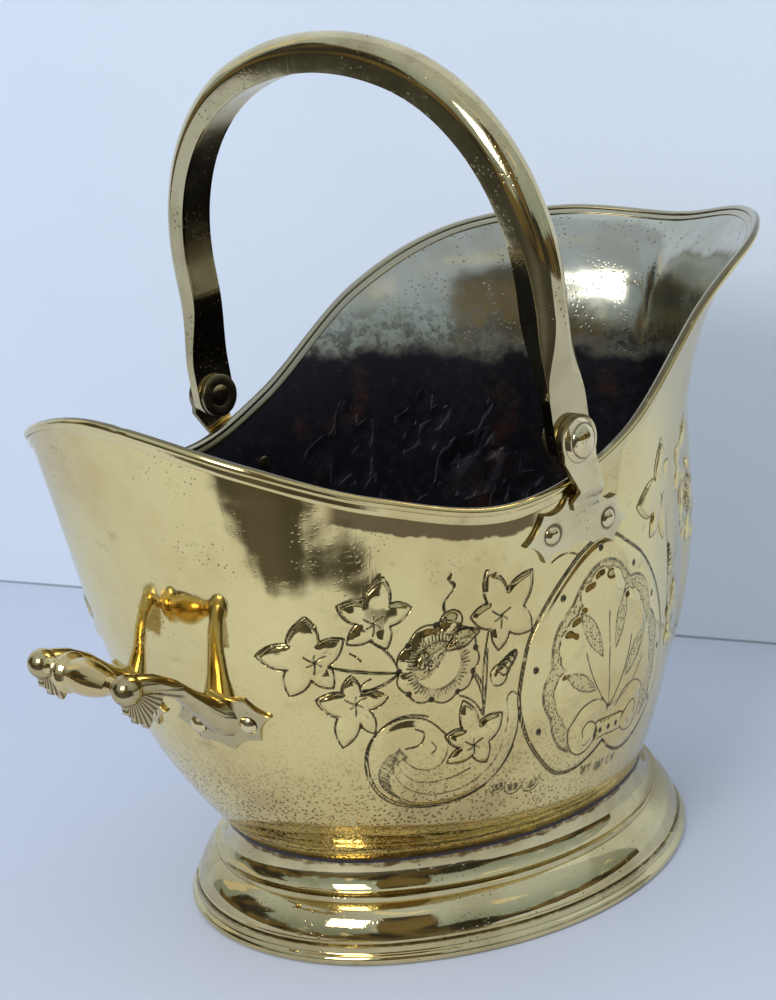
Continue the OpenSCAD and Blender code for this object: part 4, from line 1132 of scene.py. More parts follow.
@dataclass
class Chasing:
    """The whole drawing on one side of the body.

    A stem is its two ends and how far it bows; the fan is the stems of the near spray,
    which have a second line beside them.
    """

    leaves: tuple[IvyLeaf, ...] = (
        IvyLeaf((-171.0, 137.0), ((171, 28, 138, 16), (94, 23.5, 71, 9.5), (29, 17, 333, 7.5),
                                  (295, 17, 255, 9.5), (231, 22, 192, 14))),
        IvyLeaf((-141.5, 149.0), ((142, 21, 112, 12), (72, 22, 38, 11.5), (6, 20, 335, 9),
                                  (291, 15.5, 260, 8), (208, 15, 170, 8))),
        IvyLeaf((-154.5, 111.0), ((163, 19.5, 129, 9.5), (92, 15, 59, 6.5), (357, 16, 320, 8),
                                  (292, 20, 275, 11), (247, 25, 209, 11))),
        IvyLeaf((-74.7, 132.0), ((105, 25, 66, 12.5), (41, 26, 3, 13.5), (325, 21.5, 295, 10.5),
                                 (261, 17, 225, 7.5), (166, 17, 130, 10))),
        IvyLeaf((-98.4, 73.0), ((150, 17, 116, 10.5), (95, 24, 60, 11.5), (28, 22.5, 352, 9.5),
                                (300, 14, 259, 6), (200, 17, 176, 8))),
        IvyLeaf((62.0, 158.0), ((176, 40, 140, 19), (104, 33, 80, 15), (50, 22, 0, 11),
                                (295, 26, 262, 13), (222, 25, 200, 17))),
        IvyLeaf((112.0, 168.0), ((160, 22, 125, 11), (90, 24, 55, 12), (20, 22, 345, 11),
                                 (305, 18, 270, 9), (230, 20, 195, 11))),
        IvyLeaf((106.0, 84.0), ((150, 20, 115, 10), (82, 24, 50, 11), (15, 22, 335, 9),
                                (290, 17, 258, 8), (212, 18, 180, 9))),
        IvyLeaf((176.0, 128.0), ((160, 22, 125, 11), (90, 22, 55, 11), (20, 21, 345, 10),
                                 (300, 19, 265, 9), (230, 20, 195, 10))),
    )
    flowers: tuple[OpenFlower, ...] = (
        OpenFlower((-112.0, 119.5), (
            (-125.5, 133), (-131.5, 121.5), (-128.5, 109), (-117.5, 103), (-103, 102.5),
            (-93, 110), (-90, 121), (-98, 134), (-110, 138.5))),
        OpenFlower((146.0, 140.0), (
            (132.5, 153), (126.5, 142), (129.5, 130), (140.5, 124), (155, 123.5),
            (165, 131), (168, 142), (160, 155), (148, 159.5))),
    )
    node: Spot = (-131.5, 121.0)
    fan: tuple[tuple[Spot, float], ...] = (
        ((-165.0, 133.0), 0.8), ((-143.5, 140.0), -2.6), ((-150.0, 116.0), 1.2))
    stalks: tuple[tuple[Spot, Spot, float], ...] = (
        ((-154.0, 137.0), (-149.0, 131.5), 0.4), ((-150.5, 119.0), (-145.5, 121.5), 0.4),
        ((-82.0, 126.0), (-90.0, 86.0), -1.6), ((-83.5, 118.0), (-90.0, 86.0), 0.6),
        ((-102.0, 100.0), (-90.5, 86.0), 2.2), ((-94.0, 110.0), (-89.5, 87.0), 1.8),
        ((-91.5, 108.0), (-88.0, 96.0), 1.0), ((-44.0, 149.0), (-26.0, 148.0), 3.0),
        ((-36.0, 140.0), (-25.0, 150.0), 1.0), ((75.0, 150.0), (90.0, 92.0), 4.0),
        ((77.0, 150.0), (92.0, 92.0), 1.0), ((90.0, 94.0), (128.0, 130.0), 5.0))
    cartouche: Cartouche = field(default_factory=Cartouche)
    scroll: Scroll = field(default_factory=Scroll)

    def bud(self, centre: Spot, lean: float, sheet: Drawing) -> None:
        """Draws a coiled bud: rings that shrink along its stalk."""
        step = 0.0
        for size in (5.0, 3.6, 2.9, 2.3, 1.5):
            place = (centre[0] + step * math.cos(lean), centre[1] + step * math.sin(lean))
            sheet.cut(circle(place, size, size * 1.05), True)
            sheet.raise_field(circle(place, size, size), 1.1, size)
            step += size * 0.95

    def stems(self, sheet: Drawing) -> None:
        """Draws the stems and blades that join leaves and flower."""
        for end, sag in self.fan:
            sheet.cut(bowed(self.node, end, sag), True)
            sheet.cut(bowed(self.node, end, sag + 0.7))
        for start, end, sag in self.stalks:
            sheet.cut(bowed(start, end, sag), True)

    def drawing(self) -> Drawing:
        """Returns the finished drawing."""
        sheet = Drawing()
        for motif in (*self.leaves, *self.flowers, self.cartouche, self.scroll):
            motif.draw(sheet)
        self.bud((-78.5, 103.0), math.radians(38), sheet)
        self.bud((94.0, 116.0), math.radians(120), sheet)
        self.stems(sheet)
        return sheet


def inside(points: Array, outline: Array) -> Array:
    """Says which points lie inside a closed outline."""
    found = np.zeros(len(points), bool)
    low, high = outline.min(0), outline.max(0)
    near = np.where(((points >= low) & (points <= high)).all(1))[0]
    if not len(near):
        return found
    x, y = points[near, 0], points[near, 1]
    odd = np.zeros(len(near), bool)
    for (ax, ay), (bx, by) in zip(outline, np.roll(outline, -1, axis=0)):
        if ay == by:
            continue
        hit = (ay > y) != (by > y)
        odd ^= hit & (x < (bx - ax) * (y - ay) / (by - ay) + ax)
    found[near] = odd
    return found


def gap_to(points: Array, targets: Array, cap: float = 6.0) -> Array:
    """Returns each point's distance to the nearest target, at most cap."""
    tree = KDTree(len(targets))
    for i, (x, y) in enumerate(targets):
        tree.insert((float(x), float(y), 0.0), i)
    tree.balance()
    low, high = targets.min(0) - cap, targets.max(0) + cap
    result = np.full(len(points), cap)
    for i in np.where(((points >= low) & (points <= high)).all(1))[0]:
        result[i] = min(tree.find((points[i, 0], points[i, 1], 0.0))[2], cap)
    return result


def dense(points: Array, step: float = 0.3) -> Array:
    """Returns points along a line, about step apart."""
    return even_points(points, max(int(run_along(points)[-1] / step), 2))


# --------------------------------------------------------------------------- the body


@dataclass
class Body:
    """The body in two halves, each a closed shell with its chased outside.

    Columns and rows are the faces along and up each half's skins.
    """

    wall: HelmetWall = field(default_factory=HelmetWall)
    chasing: Chasing = field(default_factory=Chasing)
    columns: int = 430
    rows: int = 200
    inner_columns: int = 150
    inner_rows: int = 74

    def run_of(self, s: Array) -> Array:
        """Returns the length along the wall at station s, from the middle of the side."""
        ladder = np.linspace(0.0, 1.0, 401)
        p = self.wall.point(ladder, np.full(401, 0.6))
        run = run_along(p)
        run -= np.interp(0.5, ladder, run)
        return np.interp(s, ladder, run)

    def spaced(self, count: int, density: Callable[[Array], Array]) -> Array:
        """Returns shares from 0 to 1, closest together where density is high."""
        ladder = np.linspace(0.0, 1.0, 2001)
        weight = density(ladder)
        total = np.concatenate([[0.0], np.cumsum(0.5 * (weight[1:] + weight[:-1]) / 2000)])
        return np.interp(np.linspace(0.0, total[-1], count + 1), total, ladder)

    def column_density(self, s: Array) -> Array:
        """Returns how many columns the chasing needs at station s: most where it is fine."""
        run = self.run_of(s)
        pace = np.gradient(run, s)
        fine = np.select([run < -203, run < 96, run < 190], [0.3, 1.0, 0.55], 0.25)
        return fine * pace

    def row_density(self, t: Array) -> Array:
        """Returns how many rows the chasing needs at share t up the wall."""
        return np.where((t > 0.13) & (t < 0.82), 1.0, 0.35)

    def heights_up(self, stations: Array, rows: Array) -> Array:
        """Returns the length up the wall at each row and station, from the neck."""
        result = np.zeros((len(rows), len(stations)))
        before = self.wall.point(stations, np.full(len(stations), rows[0]))
        for k in range(1, len(rows)):
            now = self.wall.point(stations, np.full(len(stations), rows[k]))
            result[k] = result[k - 1] + np.linalg.norm(now - before, axis=1)
            before = now
        return result

    def relief(self, spots: Array, sheet: Drawing) -> dict[str, Array]:
        """Works out the chasing at places on the wall.

        Args:
            spots: Lengths along and up the wall.
            sheet: What is drawn there.

        Returns:
            How far the sheet is raised, the distances to the nearest deep and thin
            line, and where the ground is punched.
        """
        result = {
            "line": gap_to(spots, np.vstack([dense(p) for p in sheet.heavy])),
            "thin": gap_to(spots, np.vstack([dense(p) for p in sheet.fine])),
            "raised": np.zeros(len(spots)),
            "ground": np.zeros(len(spots)),
        }
        for outline, height, soft in sheet.fields:
            within = np.where(inside(spots, outline))[0]
            if len(within):
                deep = gap_to(spots[within], dense(np.vstack([outline, outline[:1]]), 0.6), soft)
                u = np.clip(deep / soft, 0, 1)
                result["raised"][within] += height * u * u * (3 - 2 * u)
        for outline in sheet.grounds:
            result["ground"][inside(spots, outline)] = 1.0
        return result

    def skin(self, name: str, columns: int, rows: int, inner: bool) -> bpy.types.Object:
        """Makes the outer or inner skin of the right half, with its stored values."""
        stations = (np.linspace(0.0, 1.0, columns + 1) if inner
                    else self.spaced(columns, self.column_density))
        levels = (np.linspace(0.0, 1.0, rows + 1) if inner
                  else self.spaced(rows, self.row_density))
        top = self.wall.share_below(stations, self.wall.bead_r)
        runs = self.run_of(stations)
        ups = self.heights_up(stations, levels)
        sheet = self.chasing.drawing()
        stored: dict[str, Array] = {}

        def place(u: Array, v: Array) -> Array:
            i, k = step_of(u, columns), step_of(v, rows)
            s, t = stations[i], levels[k] * top[i]
            found = self.relief(np.stack([runs[i], ups[k, i] * top[i]], -1), sheet)
            stored.update(found, below=ups[-1, i] * MM - ups[k, i] * top[i] * MM)
            fade = np.clip((1.0 - levels[k]) / 0.06, 0, 1) * np.clip(levels[k] / 0.05, 0, 1)
            shift = found["raised"] * fade - (self.wall.sheet_t if inner else 0.0)
            p = self.wall.point(s, t) + self.wall.normal(s, t) * shift[:, None]
            p[(u == 0.0) | (u == 1.0), 1] = 0.0
            return p

        obj = spread_grid(name, columns, rows, place)
        if inner:
            obj.data.flip_normals()
        for key in ("line", "thin", "ground", "below"):
            point_values(obj, key, stored[key])
        return obj

    def half(self, outside: bpy.types.Material, within: bpy.types.Material) -> bpy.types.Object:
        """Makes the right half: two skins bridged round their edges."""
        outer = self.skin("body_right", self.columns, self.rows, False)
        inner = self.skin("body_inner", self.inner_columns, self.inner_rows, True)
        dress(outer, outside, within)
        dress(inner, outside, within)
        slots = np.ones(len(inner.data.polygons), np.int32)
        inner.data.polygons.foreach_set("material_index", slots)
        select_only(outer)
        inner.select_set(True)
        bpy.ops.object.join()
        with open_edges(outer):
            bpy.ops.mesh.bridge_edge_loops()
        smooth_by(outer, 50)
        return outer

    def build(self, outside: bpy.types.Material, within: bpy.types.Material) -> None:
        """Builds both halves and fits them out."""
        right = self.half(outside, within)
        left = mirrored_copy(right, "body_left")
        for piece in (right, left):
            fit_out(piece, "scuttle", "body_sheet", "body_shell")


# --------------------------------------------------------------------------- edging


@dataclass
class Edging:
    """The beaded channel over the mouth's edge, butted a little beside the rear.

    The joint is placed and sized in stations; a leg's shares and puffs say how far down
    and how thick each point of its section is.
    """

    wall: HelmetWall = field(default_factory=HelmetWall)
    stations: int = 560
    steps: int = 40
    joint_at: float = 0.035
    joint_w: float = 0.0016
    leg_shares: tuple[float, ...] = (0.24, 0.30, 0.6, 0.9, 0.97, 1.0)
    leg_puffs: tuple[float, ...] = (0.15, 0.85, 1.0, 1.0, 0.8, 0.25)

    def section(self, s: Array) -> Array:
        """Returns each station's section, a ring of points."""
        wall = self.wall
        top_t = wall.share_below(s, wall.bead_r)
        low_t = wall.share_below(s, wall.bead_r + wall.flange_d)
        out, low = wall.normal(s, top_t), wall.normal(s, low_t)
        top_out, low_out = wall.point(s, top_t), wall.point(s, low_t)
        top_in, low_in = top_out - out * wall.sheet_t, low_out - low * wall.sheet_t
        up = unit(wall.edge(s) - top_out)
        middle = (top_out + top_in) / 2
        turns = np.radians(np.linspace(-40, 220, self.steps))
        bead = [middle + wall.bead_r * (out * math.cos(a) + up * math.sin(a)) for a in turns]

        def leg(top: Array, foot: Array, side: Array) -> list[Array]:
            return [top + (foot - top) * a + side * wall.flange_t * b
                    for a, b in zip(self.leg_shares, self.leg_puffs)]

        inner, outer = leg(top_in, low_in, -low), leg(top_out, low_out, low)
        return np.stack([*bead, *inner, *reversed(outer)], 1)

    def build(self, brass: bpy.types.Material) -> None:
        """Builds the edging and fits it out."""
        s_all = np.linspace(0.0, 2.0, self.stations + 1)
        rings = self.section(s_all)
        middle = rings.mean(1, keepdims=True)
        gap = np.abs(s_all - self.joint_at) < self.joint_w * 2
        rings = np.where(gap[:, None, None], middle + (rings - middle) * 0.90, rings)
        count = rings.shape[1]
        turned = np.linspace(0.0, 1.0, self.steps)
        legs = len(self.leg_shares)
        inward = np.concatenate([turned, np.ones(legs), np.zeros(count - self.steps - legs)])
        stored: dict[str, Array] = {}

        def place(u: Array, v: Array) -> Array:
            i, k = step_of(u, self.stations) % self.stations, step_of(v, count) % count
            stored["inward"] = inward[k]
            return rings[i, k]

        obj = spread_grid("edging", self.stations, count, place)
        point_values(obj, "inward", stored["inward"])
        weld(obj)
        face_outwards(obj)
        smooth_by(obj, 50)
        dress(obj, brass)
        fit_out(obj, "scuttle", "edging", "rim_edging")


# --------------------------------------------------------------------------- foot


@dataclass
class Foot:
    """The stretched oval foot with its mouldings."""

    oval: NeckOval = field(default_factory=NeckOval)
    spread: float = 23.0
    step_h: float = 29.5
    sheet: float = 1.8
    bottom_t: float = 1.4
    roll_r: float = 2.8
    band_h: float = 9.5
    ledge: float = 9.0
    stations: int = 300
    points: int = 190

    def profile(self) -> Array:
        """Returns the half section as a closed ring, outwards from the neck and up."""
        top = self.oval.height - self.bottom_t
        cove_w, band_w = 0.30 * self.spread, 0.80 * self.spread
        f = np.radians(np.linspace(180, 270, 24))
        cove = np.stack([cove_w + cove_w * np.cos(f), top + (top - self.step_h) * np.sin(f)], -1)
        step = np.array([[cove_w + 1.4, self.step_h], [cove_w + 1.4, self.step_h - 2.6],
                         [cove_w + 0.4, self.step_h - 2.7]])
        band = bowed((cove_w + 0.4, self.step_h - 2.7), (band_w, self.band_h + 2.2), 2.2)[1:]
        ridge = np.array([[band_w + 0.6, self.band_h + 2.1], [band_w + 0.6, self.band_h + 0.1],
                          [band_w - 0.1, self.band_h]])
        low_x = self.spread - self.roll_r
        narrow = np.array([[low_x, self.band_h], [low_x + 0.2, 2 * self.roll_r + 0.6]])
        f = np.radians(np.linspace(78, -90, 20))
        r = self.roll_r
        roll = np.stack([low_x + r * np.cos(f), r + r * np.sin(f)], -1)
        hollow = np.array([
            [self.spread - 2 * self.roll_r, 0.0],
            [self.spread - 2 * self.roll_r, self.band_h - self.sheet],
            [band_w - self.sheet, self.band_h],
            [cove_w - self.sheet + 0.6, self.step_h - self.sheet - 1],
            [-self.sheet, self.step_h + 1],
            [-self.sheet, top - self.sheet],
            [-self.ledge, top - self.sheet],
            [-self.ledge, top]])
        ring = np.vstack([cove, step, band, ridge, narrow, roll, hollow, cove[:1]])
        return even_points(ring, self.points + 1)[:-1]

    def build(self, brass: bpy.types.Material) -> None:
        """Builds the foot and fits it out."""
        section = self.profile()

        def place(u: Array, v: Array) -> Array:
            i = step_of(u, self.stations) % self.stations
            k = step_of(v, self.points) % self.points
            flat = self.oval.point(2 * np.pi * i / self.stations, section[k, 0])
            return np.column_stack([flat, section[k, 1]])

        obj = spread_grid("foot", self.stations, self.points, place)
        weld(obj)
        face_outwards(obj)
        smooth_by(obj, 38)
        dress(obj, brass)
        fit_out(obj, "scuttle", "foot", "foot_ring")


# --------------------------------------------------------------------------- bail


@dataclass
class Bail:
    """The swinging bail: a half-round channel with a strip let into its inner face."""

    height: float = 184.5
    crown_r: float = 170.5
    crown_angle: float = 19.5
    leg_lean: float = 1.0
    tilt: float = 6.6
    width: float = 19.5
    side: float = 8.5
    channel_t: float = 1.7
    strip_half: float = 0.25
    paddle_w: float = 25.0
    paddle_t: float = 5.8
    paddle_rise: float = 16.0
    taper_l: float = 44.0
    paddle_in: float = 127.33
    leg_y: float = 127.03
    pivot: Triple = (-28.0, 0.0, 249.05)
    arc_steps: int = 64
    around: int = 28
    leg_steps: int = 4
    taper_steps: int = 25
    end_steps: int = 16

    def path(self) -> Array:
        """Returns stations of one half: sideways place, height, and lean, in radians."""
        c, lean = math.radians(self.crown_angle), math.radians(self.leg_lean)
        crown_c = self.height - self.crown_r
        over = (self.leg_y - self.crown_r * math.sin(c)
                + math.tan(lean) * (crown_c + self.crown_r * math.cos(c)))
        under = math.cos(lean) - math.sin(c) + math.tan(lean) * (math.cos(c) + math.sin(lean))
        shoulder_r = over / under
        cx = (self.crown_r - shoulder_r) * math.sin(c)
        cy = crown_c + (self.crown_r - shoulder_r) * math.cos(c)
        crown = [(self.crown_r * math.sin(a), crown_c + self.crown_r * math.cos(a), a)
                 for a in np.linspace(0, c, self.arc_steps // 3, endpoint=False)]
        turn = [(cx + shoulder_r * math.sin(a), cy + shoulder_r * math.cos(a), a)
                for a in np.linspace(c, math.pi / 2 + lean, self.arc_steps)]
        x, y, a = turn[-1]
        taper_top = self.paddle_rise + self.taper_l
        length = (y - taper_top) / math.cos(lean)
        leg = [(x - math.sin(lean) * length * q, y - math.cos(lean) * length * q, a)
               for q in np.linspace(0, 1, self.leg_steps + 1)[1:]]
        return np.array(crown + turn + leg)

    @property
    def half_turn(self) -> Array:
        """Angles across the rounded back, in radians."""
        return np.radians(np.linspace(-90, 90, self.around + 1))

    def outline(self) -> Array:
        """Returns the full section: x outwards from the inner face, y along the width."""
        r = self.width / 2
        back = np.stack([self.side + r * np.cos(self.half_turn), r * np.sin(self.half_turn)], -1)
        return np.vstack([back, [[0.0, r], [0.0, -r]]])

    def flattened(self, base: Array, out: Array, body: float, cap: float, half: float) -> Array:
        """Returns a ring of the flattened end.

        Args:
            base: The middle of its inner face, sideways and up.
            out: The way outwards there.
            body: How thick it is at its edges.
            cap: How much its back bulges beyond that.
            half: Half its width.
        """
        thick = body + cap * np.cos(self.half_turn)
        back = np.column_stack([base + out * thick[:, None], half * np.sin(self.half_turn)])
        return np.vstack([back, [[*base, half], [*base, -half]]])

    def ring(self, station: Array, section: Array) -> Array:
        """Returns a section set square to the path."""
        depth = self.side + self.width / 2
        out = np.array([math.sin(station[2]), math.cos(station[2])])
        q = section[:, :1] - depth / 2
        return np.column_stack([station[:2] + out * q, section[:, 1]])

    def taper(self, q: float) -> Array:
        """Returns a ring of the stretch that flattens towards the pivot."""
        depth, lean = self.side + self.width / 2, math.radians(self.leg_lean)
        u = q * q * (3 - 2 * q)
        end = self.path()[-1]
        out0 = np.array([math.cos(lean), -math.sin(lean)])
        start = end[:2] - out0 * depth / 2
        base = np.array([start[0] + (self.paddle_in - start[0]) * u,
                         start[1] + (self.paddle_rise - start[1]) * q])
        out = out0 + (np.array([1.0, 0.0]) - out0) * u
        out /= np.linalg.norm(out)
        body = self.side + (self.paddle_t - self.side) * u
        half = (self.width + (self.paddle_w - self.width) * u) / 2
        return self.flattened(base, out, body, self.width / 2 * (1 - u), half)

    def paddle(self, h: float) -> Array:
        """Returns a ring of the flat end at height h from the pivot."""
        r = self.paddle_w / 2
        half = r if h >= 0 else math.sqrt(max(r * r - h * h, 0.02))
        base, out = np.array([self.paddle_in, h]), np.array([1.0, 0.0])
        return self.flattened(base, out, self.paddle_t, 0.0, half)

    def sweep(self, name: str, rings: list[Array]) -> bpy.types.Object:
        """Makes a closed bar through rings of one half and their mirror images."""
        flip = np.array([-1.0, 1.0, 1.0])
        rows = [r * flip for r in reversed(rings[1:])] + rings
        table = np.stack(rows)
        n, count = len(rows) - 1, table.shape[1]
        tilt = math.radians(self.tilt)
        side, up, fore = table[..., 0], table[..., 1], table[..., 2]
        x = fore * math.cos(tilt) - up * math.sin(tilt) + self.pivot[0]
        z = fore * math.sin(tilt) + up * math.cos(tilt) + self.pivot[2]
        z = np.minimum(z, 1000.0 * CAD_BOX[1][2])
        solid = np.stack([x, side, z], -1)

        def place(u: Array, v: Array) -> Array:
            return solid[step_of(u, n), step_of(v, count) % count]

        obj = spread_grid(name, n, count, place)
        weld(obj)
        close_holes(obj)
        face_outwards(obj)
        smooth_by(obj, 40)
        return obj

    def build(self, brass: bpy.types.Material, flank: bpy.types.Material) -> None:
        """Builds the bail and its strip, and fits them out."""
        path = self.path()
        full = [self.ring(p, self.outline()) for p in path]
        flat = [self.taper(q) for q in np.linspace(0, 1, self.taper_steps + 1)[1:]]
        straight = np.linspace(self.paddle_rise - 2, 0, 5)
        rounded = -self.paddle_w / 2 * np.sin(np.radians(np.linspace(6, 90, self.end_steps)))
        low = [self.paddle(h) for h in (*straight, *rounded)]
        bail = self.sweep("bail", full + flat + low)
        dress(bail, brass)
        fit_out(bail, "bail", "bail", "bail_shell")
        r = self.width / 2 - self.channel_t
        far = self.strip_half
        strip = np.array([[-far, -r], [-far, r], [far, r], [far, -r]])
        inset = self.sweep("bail_inset", [self.ring(p, strip) for p in path])
        dress(inset, flank)
        fit_out(inset, "bail", "bail", "bail_strip")


# --------------------------------------------------------------------------- fittings


@dataclass
class CastFittings:
    """Small pieces that keep the solid's form, with softened, shaded edges.

    The edges' radius is in millimetres, the reach of the merge in metres.
    """

    edge_r: float = 0.35
    sharp: float = 34.0
    edge_lean: float = 0.45
    reach: float = 0.000002

    def soften(self, node: str, name: str, slot: str, *brass: bpy.types.Material,
               angle: float | None = None) -> None:
        """Copies a node, merges it, rounds its sharp edges and fits it out.

        Args:
            node: The CAD node.
            name: The new piece's name.
            slot: Not used.
            brass: Its material, and a second that paints shade on a plate's narrow edges.
            angle: Edges sharper than this stay sharp in shading, in degrees.
        """
        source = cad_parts[node]
        piece = bpy.data.objects.new(name, source.data.copy())
        piece.data.name = name
        bpy.context.scene.collection.objects.link(piece)
        weld(piece, self.reach)
        select_only(piece)
        bevel = piece.modifiers.new("edges", "BEVEL")
        bevel.width = self.edge_r * MM
        bevel.segments = 2
        bevel.limit_method = "ANGLE"
        bevel.angle_limit = math.radians(self.sharp)
        bevel.use_clamp_overlap = True
        bpy.ops.object.modifier_apply(modifier=bevel.name)
        smooth_by(piece, angle or self.sharp)
        dress(piece, *brass)
        # A plate's narrow edges get the second material: painted shade along its outline.
        if len(brass) > 1:
            facing = np.empty(len(piece.data.polygons) * 3)
            piece.data.polygons.foreach_get("normal", facing)
            edges = np.abs(facing.reshape(-1, 3)[:, 1]) < self.edge_lean
            piece.data.polygons.foreach_set("material_index", edges.astype(np.int32))
        fit_out(piece, "scuttle", slot, node)


# --------------------------------------------------------------------------- stage


@dataclass(frozen=True)
class Studio:
    """A plain pale floor and wall, and soft surroundings that the metal mirrors.

    Each dark shape is its azimuth and half width in degrees, and how high it reaches.
    Each end of the floor's board is the way towards it and its distance, in metres.
    """

    floor: Colour = (0.57, 0.63, 0.76)
    wall: Colour = (0.64, 0.715, 0.81)
    shade: Colour = (0.030, 0.028, 0.022)
    earth: Colour = (0.16, 0.12, 0.055)
    # Colour of the painted shade where the wall meets the floor.
    gap: Colour = (0.16, 0.18, 0.22)
    low_sky: Colour = (0.28, 0.36, 0.41)
    high_sky: Colour = (0.50, 0.58, 0.70)
    cloud: Colour = (0.76, 0.74, 0.66)
    soft_light: Colour = (0.90, 0.92, 0.96)
    haze: Colour = (0.66, 0.74, 0.87)
    wall_line: tuple[Spot, Spot] = ((159.0, 698.0), (379.0, 37.0))
    wall_h: float = 2600.0
    wall_right: float = 0.26
    toward_viewer: Spot = (-0.687, -0.726)
    reach: float = 3000.0
    shapes: tuple[Triple, ...] = ((-137.0, 15.0, 0.55), (-112.0, 6.0, 0.25), (-40.0, 13.0, 0.78))
    board_ends: tuple[Triple, ...] = ((-0.85, -0.53, 0.432), (-0.35, -0.937, 0.428))
    lamp_at: Triple = (-2.1, -0.66, 1.55)
    lamp_size: float = 0.9
    lamp_power: float = 24.0
    lit_spot: Triple = (0.0, 0.0, 0.15)

    def painted(self, name: str, colour: Colour, board: bool) -> bpy.types.Material:
        """Makes a dull, faintly uneven paint.

        Args:
            name: The material's name.
            colour: Its colour.
            board: Whether mirrored views find it dark beyond the board's near end.
        """
        bench = Bench(bpy.data.materials.new(name))
        cloud = bench.noise(4.0, 3.0)
        tint: Colour = (0.94 * colour[0], 0.94 * colour[1], 0.95 * colour[2])
        seen = bench.blend(cloud.rise(0.3, 0.7) * 0.35, colour, tint)
        if board:
            x, y = bench.axis(0), bench.axis(1)
            uneven = (bench.noise(9.0, 3.0) - 0.5) * 0.06
            beyond = [(x * a + y * b + uneven).rise(end - 0.012, end + 0.012)
                      for a, b, end in self.board_ends]
            dark = beyond[0].most(beyond[1]) * (x + uneven).fall(-0.140, -0.120)
            mirrored = bench.add("ShaderNodeLightPath", out="Is Glossy Ray")
            seen = bench.blend(dark * mirrored, seen, self.shade)
        else:
            # Painted shade: a thin dark line along the wall's foot, where it meets the floor.
            gap = (bench.axis(2) + (cloud - 0.5) * 0.001).fall(0.0012, 0.0026)
            seen = bench.blend(gap * 0.7, seen, self.gap)
        grain = bench.noise(180.0, 3.0)
        return bench.finish(seen, 0.62 + grain * 0.1, grain * 0.00003, 0.0)

    def slab(self, name: str, corners: list[Triple], paint: bpy.types.Material) -> None:
        """Adds one flat sheet of the stage, given by its corners in millimetres."""
        def place(u: Array, v: Array) -> Array:
            a, b, c, d = (np.array(p) for p in corners)
            u, v = u[:, None], v[:, None]
            return (a * (1 - u) + b * u) * (1 - v) + (d * (1 - u) + c * u) * v

        obj = spread_grid(name, 4, 4, place)
        dress(obj, paint)

    def shadows(self, bench: Bench, ray: Wire, patchy: Wire) -> Wire:
        """Returns where the mirrored surroundings are dark.

        Args:
            bench: The surroundings' nodes.
            ray: The direction looked in.
            patchy: Noise that makes the dark shapes' edges uneven.
        """
        x, y, z = (bench.add("ShaderNodeSeparateXYZ", {}, {0: ray}, k) for k in range(3))
        ahead = x * self.toward_viewer[0] + y * self.toward_viewer[1]
        flat = (x * x + y * y).most(0.0001) ** 0.5
        uneven = patchy - 0.5
        dark = (z + uneven * 0.8).fall(0.17, 0.22) * (ahead + uneven).rise(-0.55, -0.45)
        dark = dark.most(z.fall(-0.04, 0.02))
        for azimuth, half, top in self.shapes:
            turn = math.radians(azimuth)
            near = (x * math.sin(turn) + y * -math.cos(turn)) / flat + uneven * 0.05
            edge = math.cos(math.radians(half))
            height = (z + uneven * 0.4).fall(top - 0.02, top + 0.02)
            dark = dark.most(near.rise(edge - 0.004, edge + 0.004) * height)
        return dark * 0.97

    def surroundings(self) -> None:
        """Makes the world: pale for the eye, and for the metal a sky over dark shapes."""
        world = bpy.data.worlds.new("surroundings")
        bpy.context.scene.world = world
        bench = Bench(world)
        ray = bench.add("ShaderNodeTexCoord", out="Generated")
        patchy = bench.add("ShaderNodeTexNoise", {}, {"Vector": ray, "Scale": 2.4, "Detail": 4.0})
        puffs = bench.add("ShaderNodeTexNoise", {}, {"Vector": ray, "Scale": 2.1, "Detail": 5.0})
        z = bench.add("ShaderNodeSeparateXYZ", {}, {0: ray}, 2)
        sky = bench.blend(z.rise(0.1, 0.95), self.low_sky, self.high_sky)
        sky = bench.blend(puffs.rise(0.60, 0.64), sky, self.cloud)
        shapes = bench.blend(patchy.rise(0.42, 0.60), self.shade, self.earth)
        mirrored = bench.blend(self.shadows(bench, ray, patchy), sky, shapes)
        metal = bench.add("ShaderNodeLightPath", out="Is Glossy Ray")
        eye = bench.add("ShaderNodeLightPath", out="Is Camera Ray")
        seen = bench.blend(metal, self.soft_light, mirrored)
        seen = bench.blend(eye, seen, self.haze)
        glow = bench.add("ShaderNodeBackground", {}, {"Color": seen, "Strength": 1.0})
        bench.close("ShaderNodeOutputWorld", glow)

    def lamp(self) -> None:
        """Adds a soft square lamp that faces the scuttle."""
        data = bpy.data.lights.new("key", "AREA")
        data.size = self.lamp_size
        data.energy = self.lamp_power
        obj = bpy.data.objects.new("key", data)
        bpy.context.scene.collection.objects.link(obj)
        spot = Vector(self.lamp_at)
        aim = (Vector(self.lit_spot) - spot).to_track_quat("-Z", "Y")
        obj.matrix_world = Matrix.Translation(spot) @ aim.to_matrix().to_4x4()

    def build(self) -> None:
        """Builds floor, wall, surroundings and lamp."""
        (ax, ay), (bx, by) = self.wall_line
        along = unit(np.array([bx - ax, by - ay]))
        away = np.array([-along[1], along[0]])
        middle = (np.array([ax, ay]) + np.array([bx, by])) / 2
        left = middle - along * self.reach
        right = middle + along * self.reach * self.wall_right
        corners = [middle + along * self.reach * a + away * self.reach * b
                   for a, b in ((-1, -1), (1, -1), (1, 1), (-1, 1))]
        floor = self.painted("floor_paint", self.floor, True)
        wall = self.painted("wall_paint", self.wall, False)
        self.slab("floor", [(*corner, 0.0) for corner in corners], floor)
        high = self.wall_h
        self.slab("backdrop", [(*left, 0.0), (*right, 0.0), (*right, high), (*left, high)], wall)
        self.surroundings()
        self.lamp()


# --------------------------------------------------------------------------- assembly


